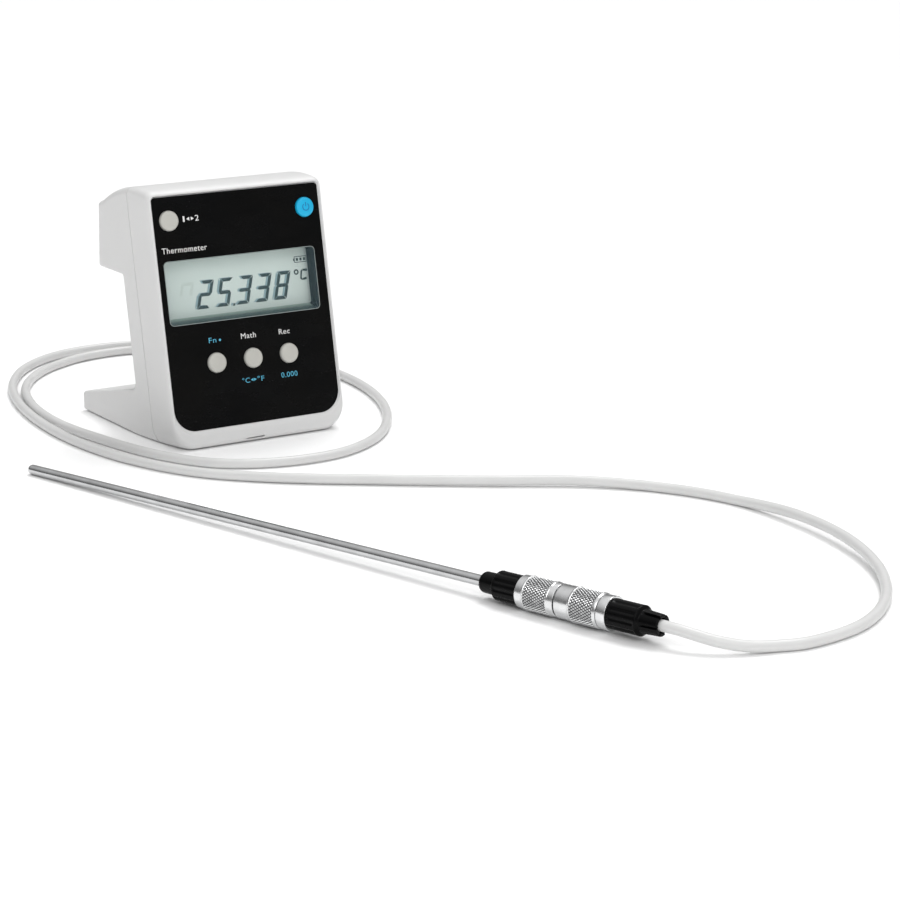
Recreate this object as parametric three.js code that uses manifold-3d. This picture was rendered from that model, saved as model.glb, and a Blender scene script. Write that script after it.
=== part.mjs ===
// Bench thermometer: a desk-standing digital instrument with a C-shaped case, an LCD, five push
// buttons and two sensor sockets, and an immersion probe joined to it by a long lead and a pair of
// screw-coupled circular connectors.
// Millimetres, +Z up. The origin is the centre of the case's base; the front faces -Y.
import * as THREE from 'three';
import { mergeVertices } from 'three/addons/utils/BufferGeometryUtils.js';
import Module from 'manifold-3d';

const wasm = await Module();
wasm.setup();

// ---------------------------------------------------------------- driving dimensions
const TILT = THREE.MathUtils.degToRad(10.9);   // the front leans back by this much
const BASE_BACK = 66.0;      // from the front-bottom edge back to the origin
const FOOT_PROUD = 0.8;      // rubber feet below the case
const CASE_W = 122.0;        // outer width
const CASE_TOP = 159.6;      // height of the top face along the leaning front
const CREST = 1.2;           // the front rim stands this far in front of the overlay
const WALL = 2.5;
const WALL_REAR = 3.6;       // wall that carries the battery door
const R_TOP = 5.0, R_BOTTOM = 16.0;
const SEAM = 28.0;           // depth of the seam between the front frame and the rear shell
const SEAM_GAP = 0.3;
const SLAB_BACK = 46.5;      // depth of the slab under the battery box
const OVERLAY_W = 116.2, OVERLAY_V0 = 11.45, OVERLAY_V1 = 156.6, OVERLAY_T = 0.8;
const OVERLAY_R_TOP = 2.5, OVERLAY_R_BOTTOM = 14.0;
const BEVEL = 2.6;           // width of the sloped inner edge of the rim
const WIN = { x0: -54.4, x1: 51.8, v0: 77.1, v1: 117.2, r: 3.0 };   // display window
const GLASS_D = 9.6;         // the display glass lies this deep behind the overlay
const BUTTON_R = 6.3, BUTTON_HOLE_R = 6.6, BUTTON_PROUD = 2.2;
const BUTTONS = {            // name: [x, height along the front]
  channel_button: [-47.6, 141.9], power_button: [47.6, 141.9],
  function_button: [-25.5, 51.7], math_button: [0.0, 51.7], record_button: [25.5, 51.7],
};
const SOCKET_X = 25.0, SOCKET_V = 64.0;
const CORD_R = 3.0;
const CONN_AXIS_TIP = [-154.7, -60.0, 3.1];    // where the probe's tip lies
const CONN_YAW = Math.atan2(-0.9608, 0.277);
const CONN_RISE = 0.0157;                      // rise of the probe's axis per millimetre
const CELL_R = 7.1, CELL_L = 50.0;

// ---------------------------------------------------------------- materials
const mat = (color, roughness, metalness = 0, extra = {}) =>
  new THREE.MeshStandardMaterial({ color, roughness, metalness, ...extra });
const M = {
  case: mat(0xe9e9e8, 0.45), overlay: mat(0x0c0c0e, 0.25), window: mat(0xdfe6e6, 0.08, 0, { transparent: true, opacity: 0.35 }),
  glass: mat(0xb9c3b6, 0.25), bezel: mat(0x2c3a42, 0.5), board: mat(0x1f5a34, 0.5), dark: mat(0x111112, 0.5),
  grey: mat(0xb9b8b2, 0.5), blue: mat(0x1593d8, 0.45), metal: mat(0xc4c6c8, 0.28, 1), steel: mat(0xa7a9ab, 0.22, 1),
  nut: mat(0x0d0d0e, 0.42), rubber: mat(0x1a1a1b, 0.8), cable: mat(0xe6e6e4, 0.35), cell: mat(0x47507a, 0.35, 0.3),
  brass: mat(0xb08d3a, 0.35, 1), elastomer: mat(0xd9d3c2, 0.7),
};

// ---------------------------------------------------------------- solid helpers
function clean(geometry) {
  let g = geometry.clone();
  for (const k of Object.keys(g.attributes)) if (k !== 'position') g.deleteAttribute(k);
  g = mergeVertices(g, 1e-4);
  const p = g.attributes.position.array, idx = g.index.array, tris = [];
  for (let i = 0; i < idx.length; i += 3) {
    const [a, b, c] = [idx[i], idx[i + 1], idx[i + 2]];
    if (a !== b && b !== c && a !== c) tris.push(a, b, c);
  }
  let vol = 0;
  for (let i = 0; i < tris.length; i += 3) {
    const [a, b, c] = [tris[i] * 3, tris[i + 1] * 3, tris[i + 2] * 3];
    vol += p[a] * (p[b + 1] * p[c + 2] - p[b + 2] * p[c + 1]) - p[a + 1] * (p[b] * p[c + 2] - p[b + 2] * p[c])
      + p[a + 2] * (p[b] * p[c + 1] - p[b + 1] * p[c]);
  }
  if (vol < 0) for (let i = 0; i < tris.length; i += 3) [tris[i + 1], tris[i + 2]] = [tris[i + 2], tris[i + 1]];
  return { p: new Float32Array(p), t: new Uint32Array(tris) };
}
function solid(geometry) {
  const { p, t } = clean(geometry);
  return new wasm.Manifold(new wasm.Mesh({ numProp: 3, vertProperties: p, triVerts: t }));
}
function geometryOf(s) {
  const m = s.getMesh(), g = new THREE.BufferGeometry();
  const pos = new Float32Array(m.numVert * 3);
  for (let i = 0; i < m.numVert; i++) for (let k = 0; k < 3; k++) pos[i * 3 + k] = m.vertProperties[i * m.numProp + k];
  g.setAttribute('position', new THREE.BufferAttribute(pos, 3));
  g.setIndex(new THREE.BufferAttribute(new Uint32Array(m.triVerts), 1));
  g.computeVertexNormals();
  return g;
}
const union = (...s) => s.reduce((a, b) => a.add(b));
const moved = (g, x, y, z) => g.translate(x, y, z);

// outline in (x, height), carried along the depth axis (+Y) from d0 to d1
function plate(shape, d0, d1, curveSegments = 6) {
  const g = new THREE.ExtrudeGeometry(shape, { depth: d1 - d0, bevelEnabled: false, curveSegments });
  g.rotateX(Math.PI / 2);
  g.translate(0, d1, 0);
  return solid(g);
}
// outline in (depth, height), carried along X
function prism(points, x0, x1) {
  const shape = new THREE.Shape(points.map(([a, b]) => new THREE.Vector2(a, b)));
  const g = new THREE.ExtrudeGeometry(shape, { depth: x1 - x0, bevelEnabled: false });
  g.applyMatrix4(new THREE.Matrix4().makeBasis(new THREE.Vector3(0, 1, 0), new THREE.Vector3(0, 0, 1), new THREE.Vector3(1, 0, 0)));
  g.translate(x0, 0, 0);
  return solid(g);
}
function roundRect(x0, x1, v0, v1, rt, rb = rt) {
  const s = new THREE.Shape();
  s.moveTo(x0 + rb, v0); s.lineTo(x1 - rb, v0); s.absarc(x1 - rb, v0 + rb, rb, -Math.PI / 2, 0, false);
  s.lineTo(x1, v1 - rt); s.absarc(x1 - rt, v1 - rt, rt, 0, Math.PI / 2, false);
  s.lineTo(x0 + rt, v1); s.absarc(x0 + rt, v1 - rt, rt, Math.PI / 2, Math.PI, false);
  s.lineTo(x0, v0 + rb); s.absarc(x0 + rb, v0 + rb, rb, Math.PI, Math.PI * 1.5, false);
  return s;
}
function box(x0, x1, d0, d1, v0, v1) {
  return solid(moved(new THREE.BoxGeometry(x1 - x0, d1 - d0, v1 - v0), (x0 + x1) / 2, (d0 + d1) / 2, (v0 + v1) / 2));
}
// turned piece along +X: profile [[along, radius], ...] from one end to the other, closed on the axis
function turned(profile, segments = 32) {
  const pts = profile.map(([a, r]) => new THREE.Vector2(r, a));
  const g = new THREE.LatheGeometry(pts, segments);
  g.rotateZ(-Math.PI / 2);
  return solid(g);
}
function rod(a0, a1, r, segments = 24) { return turned([[a0, 0], [a0, r], [a1, r], [a1, 0]], segments); }
// turned piece along the depth axis, at (x, height)
function turnedD(profile, x, v, segments = 32) {
  const pts = profile.map(([a, r]) => new THREE.Vector2(r, a));
  return solid(moved(new THREE.LatheGeometry(pts, segments), x, 0, v));
}
function rodD(d0, d1, r, x, v, segments = 24) { return turnedD([[d0, 0], [d0, r], [d1, r], [d1, 0]], x, v, segments); }

// ---------------------------------------------------------------- the leaning frame of the case
const C = Math.cos(TILT), S = Math.sin(TILT);
// a point of the side view, b back from the front-bottom edge and z above the case's base
const pv = (b, z) => [b * C - z * S, b * S + z * C];

const root = new THREE.Group();
const lean = new THREE.Group();          // x, depth behind the overlay, height along the front
lean.position.set(0, -BASE_BACK, FOOT_PROUD);
lean.rotation.x = -TILT;
root.add(lean);

function add(group, name, s, material) {
  const mesh = new THREE.Mesh(s.isBufferGeometry ? s : geometryOf(s), material);
  mesh.name = name;
  group.add(mesh);
  return mesh;
}

const frontLow = (d) => d * S / C;       // height along the front where depth d meets the base plane
const face = (z) => 101.5 - (z - 101) * (2.0 / 42.3);   // rear face of the battery box in the side view
function arc2(cx, cz, r, a0, a1, n) {
  const out = [];
  for (let i = 0; i <= n; i++) { const a = THREE.MathUtils.degToRad(a0 + (a1 - a0) * i / n); out.push([cx + r * Math.cos(a), cz + r * Math.sin(a)]); }
  return out;
}
// the top is a shallow dome: one arc from the front crest to the battery box's rear edge
const TOP_RADIUS = 105;
const TOP_EDGE = arc2(face(140.3) - 3.0, 140.2, 3.0, 5, 59, 3).map(([b, z]) => pv(b, z));
const DOME = (() => {
  const [fd, fv] = [-CREST, CASE_TOP], [bd, bv] = TOP_EDGE[TOP_EDGE.length - 1];
  const l = Math.hypot(bd - fd, bv - fv), k = Math.sqrt(TOP_RADIUS ** 2 - (l / 2) ** 2) / l;
  return { d: (fd + bd) / 2 + (bv - fv) * k, v: (fv + bv) / 2 - (bd - fd) * k, from: fd, to: bd };
})();
const domeHeight = (d) => DOME.v + Math.sqrt(Math.max(0, TOP_RADIUS ** 2 - (d - DOME.d) ** 2));
const domeDepths = (n) => Array.from({ length: n + 1 }, (_, i) => DOME.from + (DOME.to - DOME.from) * i / n);
const outer = [
  [-CREST, frontLow(-CREST)],
  ...[[131.2, 0], [132.6, 1.4], [132.7, 9.0]].map(([b, z]) => pv(b, z)),
  ...arc2(129.6, 9.6, 3.1, 0, 78, 3).map(([b, z]) => pv(b, z)),
  pv(62.5, 27.4), pv(58.6, 28.9),
  [SLAB_BACK, 42.0], [SLAB_BACK, pv(0, 100.6)[1] + SLAB_BACK * S / C * 1.0],
  pv(99.6, 100.9), pv(101.4, 102.4), pv(face(140.3), 140.3),
  ...TOP_EDGE,
  ...domeDepths(10).slice(1, -1).reverse().map((d) => [d, domeHeight(d)]),
  [-CREST, CASE_TOP],
];
// height along the front of the battery box's lower face at the slab's back, z = 100.6 above the base
outer[11] = [SLAB_BACK, (100.6 + SLAB_BACK * S) / C];
const inner = [
  [-CREST - 1, frontLow(0) + WALL], [20, frontLow(20) + WALL / C],
  ...[[129.9, WALL], [130.0, 9.0]].map(([b, z]) => pv(b, z)),
  pv(128.6, 11.0), pv(60.0, 25.3), pv(55.0, 29.5),
  [SLAB_BACK - WALL, 43.0], [SLAB_BACK - WALL, (103.2 + (SLAB_BACK - WALL) * S) / C],
  pv(face(103.3) - WALL_REAR, 103.3), pv(face(140) - WALL_REAR, 140.0),
  ...domeDepths(10).slice(0, -1).reverse().map((d) => [d, domeHeight(d) - WALL * 1.06]), [-CREST - 1, CASE_TOP - WALL * 1.06],
];
const half = CASE_W / 2;
// the front's outline carried backwards, its upper corners staying on the dome
function tunnel(depths, top, half, bottom, rTop, rBottom, n) {
  const positions = [], index = [];
  for (const d of depths) {
    const corner = (x, v, r, start) => {
      for (let i = 0; i <= n; i++) { const a = start + Math.PI / 2 * i / n; positions.push(x + r * Math.cos(a), d, v + r * Math.sin(a)); }
    };
    corner(half - rBottom, bottom + rBottom, rBottom, -Math.PI / 2);
    corner(half - rTop, top(d) - rTop, rTop, 0);
    corner(-half + rTop, top(d) - rTop, rTop, Math.PI / 2);
    corner(-half + rBottom, bottom + rBottom, rBottom, Math.PI);
  }
  const m = 4 * (n + 1), last = (depths.length - 1) * m;
  for (let i = 0; i < last; i += m) for (let j = 0; j < m; j++) {
    const k = (j + 1) % m;
    index.push(i + j, i + m + j, i + m + k, i + j, i + m + k, i + k);
  }
  for (let j = 1; j < m - 1; j++) index.push(0, j, j + 1, last, last + j + 1, last + j);
  const g = new THREE.BufferGeometry();
  g.setAttribute('position', new THREE.Float32BufferAttribute(positions, 3));
  g.setIndex(index);
  return solid(g);
}
const topAt = (d) => (d <= DOME.from || d >= DOME.to ? CASE_TOP : Math.max(CASE_TOP, domeHeight(d)));
const depths = [-10, ...domeDepths(10), 160];
const outlineOuter = tunnel(depths, topAt, half, -0.3, R_TOP, R_BOTTOM, 8);
const outlineInner = plate(roundRect(-half + WALL, half - WALL, WALL, CASE_TOP + 8, R_TOP - 2, R_BOTTOM - WALL), -10, 160, 6);
const body = prism(outer, -half, half).intersect(outlineOuter);
const hollow = prism(inner, -half + WALL, half - WALL).intersect(outlineInner);

// -------- front frame
const overlayShape = () => roundRect(-OVERLAY_W / 2, OVERLAY_W / 2, OVERLAY_V0, OVERLAY_V1, OVERLAY_R_TOP, OVERLAY_R_BOTTOM);
const FRONT_IN = OVERLAY_T + 0.3;        // floor of the overlay's recess
const FRONT_BACK = FRONT_IN + 2.5;       // back of the front wall
{
  const g = new THREE.ExtrudeGeometry(overlayShape(), { depth: 4, bevelEnabled: true, bevelThickness: CREST, bevelSize: BEVEL, bevelSegments: 1, curveSegments: 8 });
  g.rotateX(Math.PI / 2);                // carries the outline towards the front
  g.translate(0, -CREST, 0);
  const bevelTool = solid(g);
  let f = body.intersect(box(-100, 100, -10, SEAM - SEAM_GAP / 2, -20, 200));
  f = f.subtract(bevelTool);
  f = f.subtract(plate(roundRect(-OVERLAY_W / 2 - 0.25, OVERLAY_W / 2 + 0.25, OVERLAY_V0 - 0.25, OVERLAY_V1 + 0.25, OVERLAY_R_TOP + 0.25, OVERLAY_R_BOTTOM + 0.25), -0.4, FRONT_IN, 8));
  f = f.subtract(hollow.intersect(box(-100, 100, FRONT_BACK, SEAM + 5, -20, 200)));
  f = f.subtract(plate(roundRect(WIN.x0 - 0.5, WIN.x1 + 0.5, WIN.v0 - 0.5, WIN.v1 + 0.5, WIN.r + 0.5), -1, FRONT_BACK + 1, 4));
  for (const [x, v] of Object.values(BUTTONS)) f = f.subtract(rodD(-1, FRONT_BACK + 1, BUTTON_HOLE_R, x, v, 20));
  for (const x of [-52.5, 52.5]) for (const v of [46, 69])   // screw posts
    f = f.add(rodD(FRONT_BACK - 0.5, SEAM - 0.6, 3.3, x, v, 16)).subtract(rodD(14, SEAM + 1, 1.6, x, v, 12));
  f = f.subtract(box(-11.4, 1.8, -CREST - 1, -CREST + 1.6, 1.5, 2.9));      // pry slot in the chin
  for (const x of [-42, 42]) {           // pockets for the front feet
    const [d, v] = pv(17, -1.0);
    const pocket = new THREE.CylinderGeometry(5.3, 5.3, 2.6, 20).rotateX(Math.PI / 2 + TILT);
    f = f.subtract(solid(moved(pocket, x, ...pv(17, 0.2))));
  }
  add(lean, 'front_frame', f, M.case);
}

// -------- rear shell
const DOOR = { z0: 107.0, z1: 138.0, x: 52.6, t: 3.0, hingeZ: 108.5 };
DOOR.hingeB = face(DOOR.hingeZ) - DOOR.t / 2;
{
  let r = body.intersect(box(-100, 100, SEAM + SEAM_GAP / 2, 160, -20, 200));
  r = r.subtract(hollow);
  const zb = DOOR.z0 - 0.35, zt = DOOR.z1 + 0.35;
  r = r.subtract(prism([pv(face(zb) + 3, zb), pv(face(zt) + 3, zt), pv(face(zt) - 6, zt), pv(face(zb) - 6, zb)], -DOOR.x - 0.35, DOOR.x + 0.35));
  const [hd, hv] = pv(DOOR.hingeB, DOOR.hingeZ);
  r = r.subtract(turnedX(-57, 57, 0.9, hd, hv, 14));       // seat of the door's hinge pin
  for (const x of [-SOCKET_X, SOCKET_X]) r = r.subtract(rodD(SLAB_BACK - 6, SLAB_BACK + 3, 7.3, x, SOCKET_V, 20));
  for (const x of [-52.5, 52.5]) for (const v of [46, 69]) {
    r = r.add(rodD(SEAM + 0.6, SLAB_BACK - WALL + 0.5, 4.6, x, v, 16));
    r = r.subtract(rodD(SEAM, SLAB_BACK + 2, 1.8, x, v, 12)).subtract(rodD(SLAB_BACK - 2.8, SLAB_BACK + 2, 3.3, x, v, 16));
  }
  for (const x of [-46, 46]) {
    const pocket = new THREE.CylinderGeometry(5.3, 5.3, 2.6, 20).rotateX(Math.PI / 2 + TILT);
    r = r.subtract(solid(moved(pocket, x, ...pv(119, 0.2))));
  }
  add(lean, 'rear_shell', r, M.case);
}
function turnedX(x0, x1, r, d, v, segments = 16) {
  const pts = [[0, x0], [r, x0], [r, x1], [0, x1]].map(([a, b]) => new THREE.Vector2(a, b));
  const g = new THREE.LatheGeometry(pts, segments);
  g.rotateZ(-Math.PI / 2);
  return solid(moved(g, 0, d, v));
}

// -------- overlay, display and its parts
{
  let o = plate(overlayShape(), 0, OVERLAY_T, 8);
  o = o.subtract(plate(roundRect(WIN.x0, WIN.x1, WIN.v0, WIN.v1, WIN.r), -1, 2, 4));
  for (const [x, v] of Object.values(BUTTONS)) o = o.subtract(rodD(-1, 2, BUTTON_HOLE_R, x, v, 20));
  add(lean, 'front_overlay', o, M.overlay);
  add(lean, 'lcd_window', plate(roundRect(WIN.x0 + 0.2, WIN.x1 - 0.2, WIN.v0 + 0.2, WIN.v1 - 0.2, WIN.r - 0.2), 0.05, OVERLAY_T - 0.05, 4), M.window);
  let b = plate(roundRect(WIN.x0 - 0.2, WIN.x1 + 0.2, WIN.v0 - 0.2, WIN.v1 + 0.2, WIN.r), FRONT_IN, FRONT_BACK + 0.5, 4)
    .add(box(WIN.x0 - 3.4, WIN.x1 + 3.4, FRONT_BACK + 0.3, GLASS_D - 0.3, WIN.v0 - 3.4, WIN.v1 + 3.4));
  b = b.subtract(plate(roundRect(WIN.x0 + 0.5, WIN.x1 - 0.5, WIN.v0 + 0.5, WIN.v1 - 0.5, WIN.r - 0.5), -1, GLASS_D + 1, 4));
  add(lean, 'lcd_bezel', b, M.bezel);
  add(lean, 'lcd_glass', box(WIN.x0 - 3, WIN.x1 + 3, GLASS_D, GLASS_D + 2.8, WIN.v0 - 2.6, WIN.v1 + 2.6), M.glass);
  add(lean, 'lcd_connector_strip', box(-48, 46, GLASS_D + 3.1, 15.2, WIN.v1 - 1.6, WIN.v1 + 1.2), M.elastomer);
  let pcb = box(-54, 54, 15.5, 17.1, 124, 150).add(box(-46, 46, 15.5, 17.1, 24, 125));
  add(lean, 'main_board', pcb, M.board);
}

// -------- buttons and their switches
for (const [name, [x, v]] of Object.entries(BUTTONS)) {
  const cap = turnedD([[-BUTTON_PROUD, 0], [-BUTTON_PROUD, BUTTON_R - 1.3], [-BUTTON_PROUD + 0.5, BUTTON_R - 0.35], [-BUTTON_PROUD + 1.2, BUTTON_R],
    [FRONT_BACK + 0.3, BUTTON_R], [FRONT_BACK + 0.3, 7.6], [FRONT_BACK + 1.5, 7.6], [FRONT_BACK + 1.5, 3.0], [8.0, 3.0], [8.0, 0]], x, v, 20);
  add(lean, name, cap, name === 'power_button' ? M.blue : M.grey);
  const sw = rodD(8.95, 12.2, 1.7, x, v, 12).add(box(x - 3, x + 3, 12, 15.2, v - 3, v + 3));
  add(lean, name.replace('_button', '_switch'), sw, M.dark);
}

// -------- fasteners and feet
{
  let i = 0;
  for (const x of [-52.5, 52.5]) for (const v of [46, 69]) {
    i += 1;
    let s = turnedD([[17, 0], [17, 1.25], [SLAB_BACK - 2.5, 1.25], [SLAB_BACK - 2.5, 2.9], [SLAB_BACK - 0.8, 2.9], [SLAB_BACK - 0.4, 2.2], [SLAB_BACK - 0.4, 0]], x, v, 12);
    s = s.subtract(box(x - 2, x + 2, SLAB_BACK - 1.5, SLAB_BACK + 1, v - 0.35, v + 0.35)).subtract(box(x - 0.35, x + 0.35, SLAB_BACK - 1.5, SLAB_BACK + 1, v - 2, v + 2));
    add(lean, `case_screw_${i}`, s, M.steel);
  }
  for (const [name, x, y] of [['foot_front_left', -42, 17], ['foot_front_right', 42, 17], ['foot_rear_left', -46, 119], ['foot_rear_right', 46, 119]]) {
    const g = new THREE.CylinderGeometry(5.0, 4.6, 1.9, 16).rotateX(Math.PI / 2);
    const mesh = add(root, name, solid(moved(g, x, y - BASE_BACK, 0.95)), M.rubber);
  }
}

// -------- battery box
{
  const rowZ = [113.6, 129.2], bc = 84.5;
  const P = (b, z) => pv(b, z);
  // a tray, open to the rear
  let tray = prism([P(74.6, 104.0), P(96.0, 104.0), P(96.0, 105.4), P(76.2, 105.4), P(76.2, 137.4), P(95.5, 137.4), P(95.5, 138.8), P(74.6, 138.8)], -55.5, 55.5);
  tray = union(tray, prism([P(74.6, 104.0), P(96.0, 104.0), P(95.5, 138.8), P(74.6, 138.8)], -57.3, -55.4), prism([P(74.6, 104.0), P(96.0, 104.0), P(95.5, 138.8), P(74.6, 138.8)], 55.4, 57.3));
  add(lean, 'battery_tray', tray, M.dark);
  let n = 0;
  for (const z of rowZ) for (const side of [-1, 1]) {
    n += 1;
    const [d, v] = P(bc, z);
    const x0 = side < 0 ? -50.6 : 0.6;
    const pts = [[0, x0], [CELL_R, x0], [CELL_R, x0 + CELL_L - 1.2], [2.7, x0 + CELL_L - 1.2], [2.7, x0 + CELL_L - 0.2], [0, x0 + CELL_L - 0.2]].map(([a, b]) => new THREE.Vector2(a, b));
    const g = new THREE.LatheGeometry(pts, 20); g.rotateZ(-Math.PI / 2);
    add(lean, `battery_cell_${n}`, solid(moved(g, 0, d, v)), M.cell);
  }
  add(lean, 'battery_contact_left', prism([P(77, 106.5), P(92, 106.5), P(92, 136.3), P(77, 136.3)], -55.1, -54.6), M.metal);
  add(lean, 'battery_contact_right', prism([P(77, 106.5), P(92, 106.5), P(92, 136.3), P(77, 136.3)], 51.0, 51.5), M.metal);
  rowZ.forEach((z, k) => {
    class Coil extends THREE.Curve {
      getPoint(t, target = new THREE.Vector3()) {
        const a = t * Math.PI * 2 * 2.5, [d, v] = P(bc, z);
        return target.set(-54.0 + 2.8 * t, d + 3.2 * Math.cos(a), v + 3.2 * Math.sin(a));
      }
    }
    const ring = new THREE.Shape([[0.3, 0], [0, 0.3], [-0.3, 0], [0, -0.3]].map(([a, b]) => new THREE.Vector2(a, b)));
    const g = new THREE.ExtrudeGeometry(ring, { steps: 24, extrudePath: new Coil(), bevelEnabled: false });
    add(lean, k ? 'battery_spring_upper' : 'battery_spring_lower', solid(g), M.metal);
  });
  // door: a rounded hinge edge below, a latch ramp above
  const low = arc2(DOOR.hingeB, DOOR.hingeZ, DOOR.t / 2, 180, 360, 8);
  const doorPts = [...low.map(([b, z]) => P(b, z)), P(face(DOOR.z1), DOOR.z1), P(face(DOOR.z1) - 2.0, DOOR.z1), P(face(DOOR.z1 - 4) - DOOR.t, DOOR.z1 - 4)];
  let door = prism(doorPts, -DOOR.x, DOOR.x);
  const [hd, hv] = P(DOOR.hingeB, DOOR.hingeZ);
  door = door.subtract(turnedX(-60, 60, 0.9, hd, hv, 14));
  for (const z of [131.2, 132.6, 134.0]) {   // finger grooves
    door = door.subtract(prism([P(face(z) + 1, z), P(face(z) + 1, z + 0.6), P(face(z) - 0.5, z + 0.6), P(face(z) - 0.5, z)], -12, 12));
  }
  add(lean, 'battery_door', door, M.case);
  add(lean, 'door_hinge_pin', turnedX(-55.5, 55.5, 0.7, hd, hv, 12), M.steel);
}

// -------- sensor sockets in the back of the slab
for (const [name, x] of [['sensor_socket_1', SOCKET_X], ['sensor_socket_2', -SOCKET_X]]) {
  const s = turnedD([[36, 0], [36, 6.9], [SLAB_BACK + 0.3, 6.9], [SLAB_BACK + 0.3, 10.0], [SLAB_BACK + 1.9, 10.0], [SLAB_BACK + 1.9, 7.35], [56.0, 7.35], [56.0, 5.7], [49.6, 5.7], [49.6, 0]], x, SOCKET_V, 20);
  add(lean, name, s, M.metal);
  const hex = new THREE.Shape(Array.from({ length: 6 }, (_, k) => new THREE.Vector2(x + 10 * Math.cos(k * Math.PI / 3), SOCKET_V + 10 * Math.sin(k * Math.PI / 3))));
  add(lean, name.replace('sensor_socket', 'socket_nut'), plate(hex, SLAB_BACK - WALL - 3.2, SLAB_BACK - WALL - 0.4).subtract(rodD(30, 50, 7.2, x, SOCKET_V, 20)), M.metal);
}

// -------- plug on the case's end of the lead, along the depth axis
{
  const x = SOCKET_X, v = SOCKET_V;
  add(lean, 'case_plug_body', turnedD([[50.0, 0], [50.0, 5.3], [56.6, 5.3], [56.6, 7.2], [58.4, 7.2], [58.4, 6.0], [71.0, 6.0], [71.0, 8.9], [76.2, 8.9], [76.2, 7.0], [81.7, 7.0], [81.7, 0]], x, v, 24), M.metal);
  add(lean, 'case_coupling_ring', turnedD([[48.9, 7.65], [48.9, 9.0], [53.0, 9.0], [53.0, 9.3], [69.6, 9.3], [70.6, 8.9], [70.6, 6.35], [58.8, 6.35], [58.8, 7.65], [48.9, 7.65]], x, v, 24), M.metal);
  add(lean, 'case_clamp_nut', turnedD([[76.5, 7.3], [76.5, 7.9], [90.4, 7.9], [91.6, 6.3], [96.4, 5.6], [96.4, 3.8], [82.5, 3.8], [82.5, 7.3], [76.5, 7.3]], x, v, 20), M.nut);
}

// ---------------------------------------------------------------- probe and its connectors, along +X
const yaw = new THREE.Group(); yaw.position.set(...CONN_AXIS_TIP); yaw.rotation.z = CONN_YAW; root.add(yaw);
const line = new THREE.Group(); line.rotation.y = -Math.atan(CONN_RISE); yaw.add(line);
{
  const dome = []; for (let k = 0; k <= 5; k++) { const a = k / 5 * Math.PI / 2; dome.push([3.0 - 3.0 * Math.cos(a), 3.0 * Math.sin(a)]); }
  add(line, 'probe_tube', turned([...dome, [391.0, 3.0], [391.0, 2.5], [3.2, 2.5], [3.2, 0]], 16), M.steel);
  add(line, 'sensor_element', rod(4.0, 26.0, 1.5, 12), M.elastomer);
  add(line, 'sensor_leads', rod(26.4, 396.0, 0.9, 8), M.elastomer);
  add(line, 'probe_clamp_nut', turned([[359.8, 3.35], [359.8, 4.7], [361.2, 5.5], [369.2, 5.6], [370.6, 7.9], [385.6, 7.9], [386.3, 7.6], [386.3, 7.2], [380.3, 7.2], [380.3, 3.35], [359.8, 3.35]], 20), M.nut);
  // the probe's half of the connector: thread for the clamp nut, grip, threaded barrel
  add(line, 'probe_connector_body', turned([[380.6, 3.35], [380.6, 6.95], [386.6, 6.95], [386.6, 8.8], [390.9, 8.8], [391.2, 9.1], [407.3, 9.1], [407.6, 8.8], [411.2, 8.8], [411.2, 7.35],
    [419.4, 7.35], [419.4, 5.7], [404.6, 5.7], [404.6, 3.35], [380.6, 3.35]], 24), M.metal);
  let pins = rod(405.0, 412.6, 5.35, 16).subtract(rod(404, 407, 1.3, 10));
  for (let k = 0; k < 4; k++) {
    const a = Math.PI / 4 + k * Math.PI / 2;
    const g = new THREE.LatheGeometry([[0, 412.0], [0.5, 412.0], [0.5, 417.4], [0, 417.8]].map(([r, y]) => new THREE.Vector2(r, y)), 8);
    g.rotateZ(-Math.PI / 2); g.translate(0, 2.8 * Math.cos(a), 2.8 * Math.sin(a));
    pins = pins.add(solid(g));
  }
  add(line, 'probe_pin_insert', pins, M.brass);
  // the lead's half: insert, free-turning coupling ring, grip band and clamp nut
  let plug = turned([[413.2, 0], [413.2, 5.3], [420.0, 5.3], [420.0, 7.2], [421.7, 7.2], [421.7, 6.05], [438.7, 6.05], [438.7, 8.9], [444.2, 8.9], [444.2, 6.95], [450.0, 6.95], [450.0, 0]], 24);
  for (let k = 0; k < 4; k++) {
    const a = Math.PI / 4 + k * Math.PI / 2;
    const g = new THREE.LatheGeometry([[0, 412.0], [0.85, 412.0], [0.85, 418.6], [0, 418.6]].map(([r, y]) => new THREE.Vector2(r, y)), 8);
    g.rotateZ(-Math.PI / 2); g.translate(0, 2.8 * Math.cos(a), 2.8 * Math.sin(a));
    plug = plug.subtract(solid(g));
  }
  add(line, 'lead_plug_body', plug, M.metal);
  add(line, 'lead_coupling_ring', turned([[412.2, 7.65], [412.2, 9.0], [421.0, 9.0], [421.3, 9.3], [437.5, 9.3], [438.3, 8.8], [438.3, 6.4], [422.1, 6.4], [422.1, 7.65], [412.2, 7.65]], 24), M.metal);
  let nut = turned([[444.5, 7.25], [444.5, 7.9], [462.3, 7.9], [463.6, 6.4], [473.6, 5.7], [473.6, 3.8], [450.4, 3.8], [450.4, 7.25], [444.5, 7.25]], 20);
  for (let k = 0; k < 3; k++) {   // the clamp's fingers
    const g = new THREE.BoxGeometry(5.5, 1.4, 20); g.translate(472.2, 0, 0); g.rotateX(k * Math.PI / 3 + 0.3);
    nut = nut.subtract(solid(g));
  }
  add(line, 'lead_clamp_nut', nut, M.nut);
}

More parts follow.
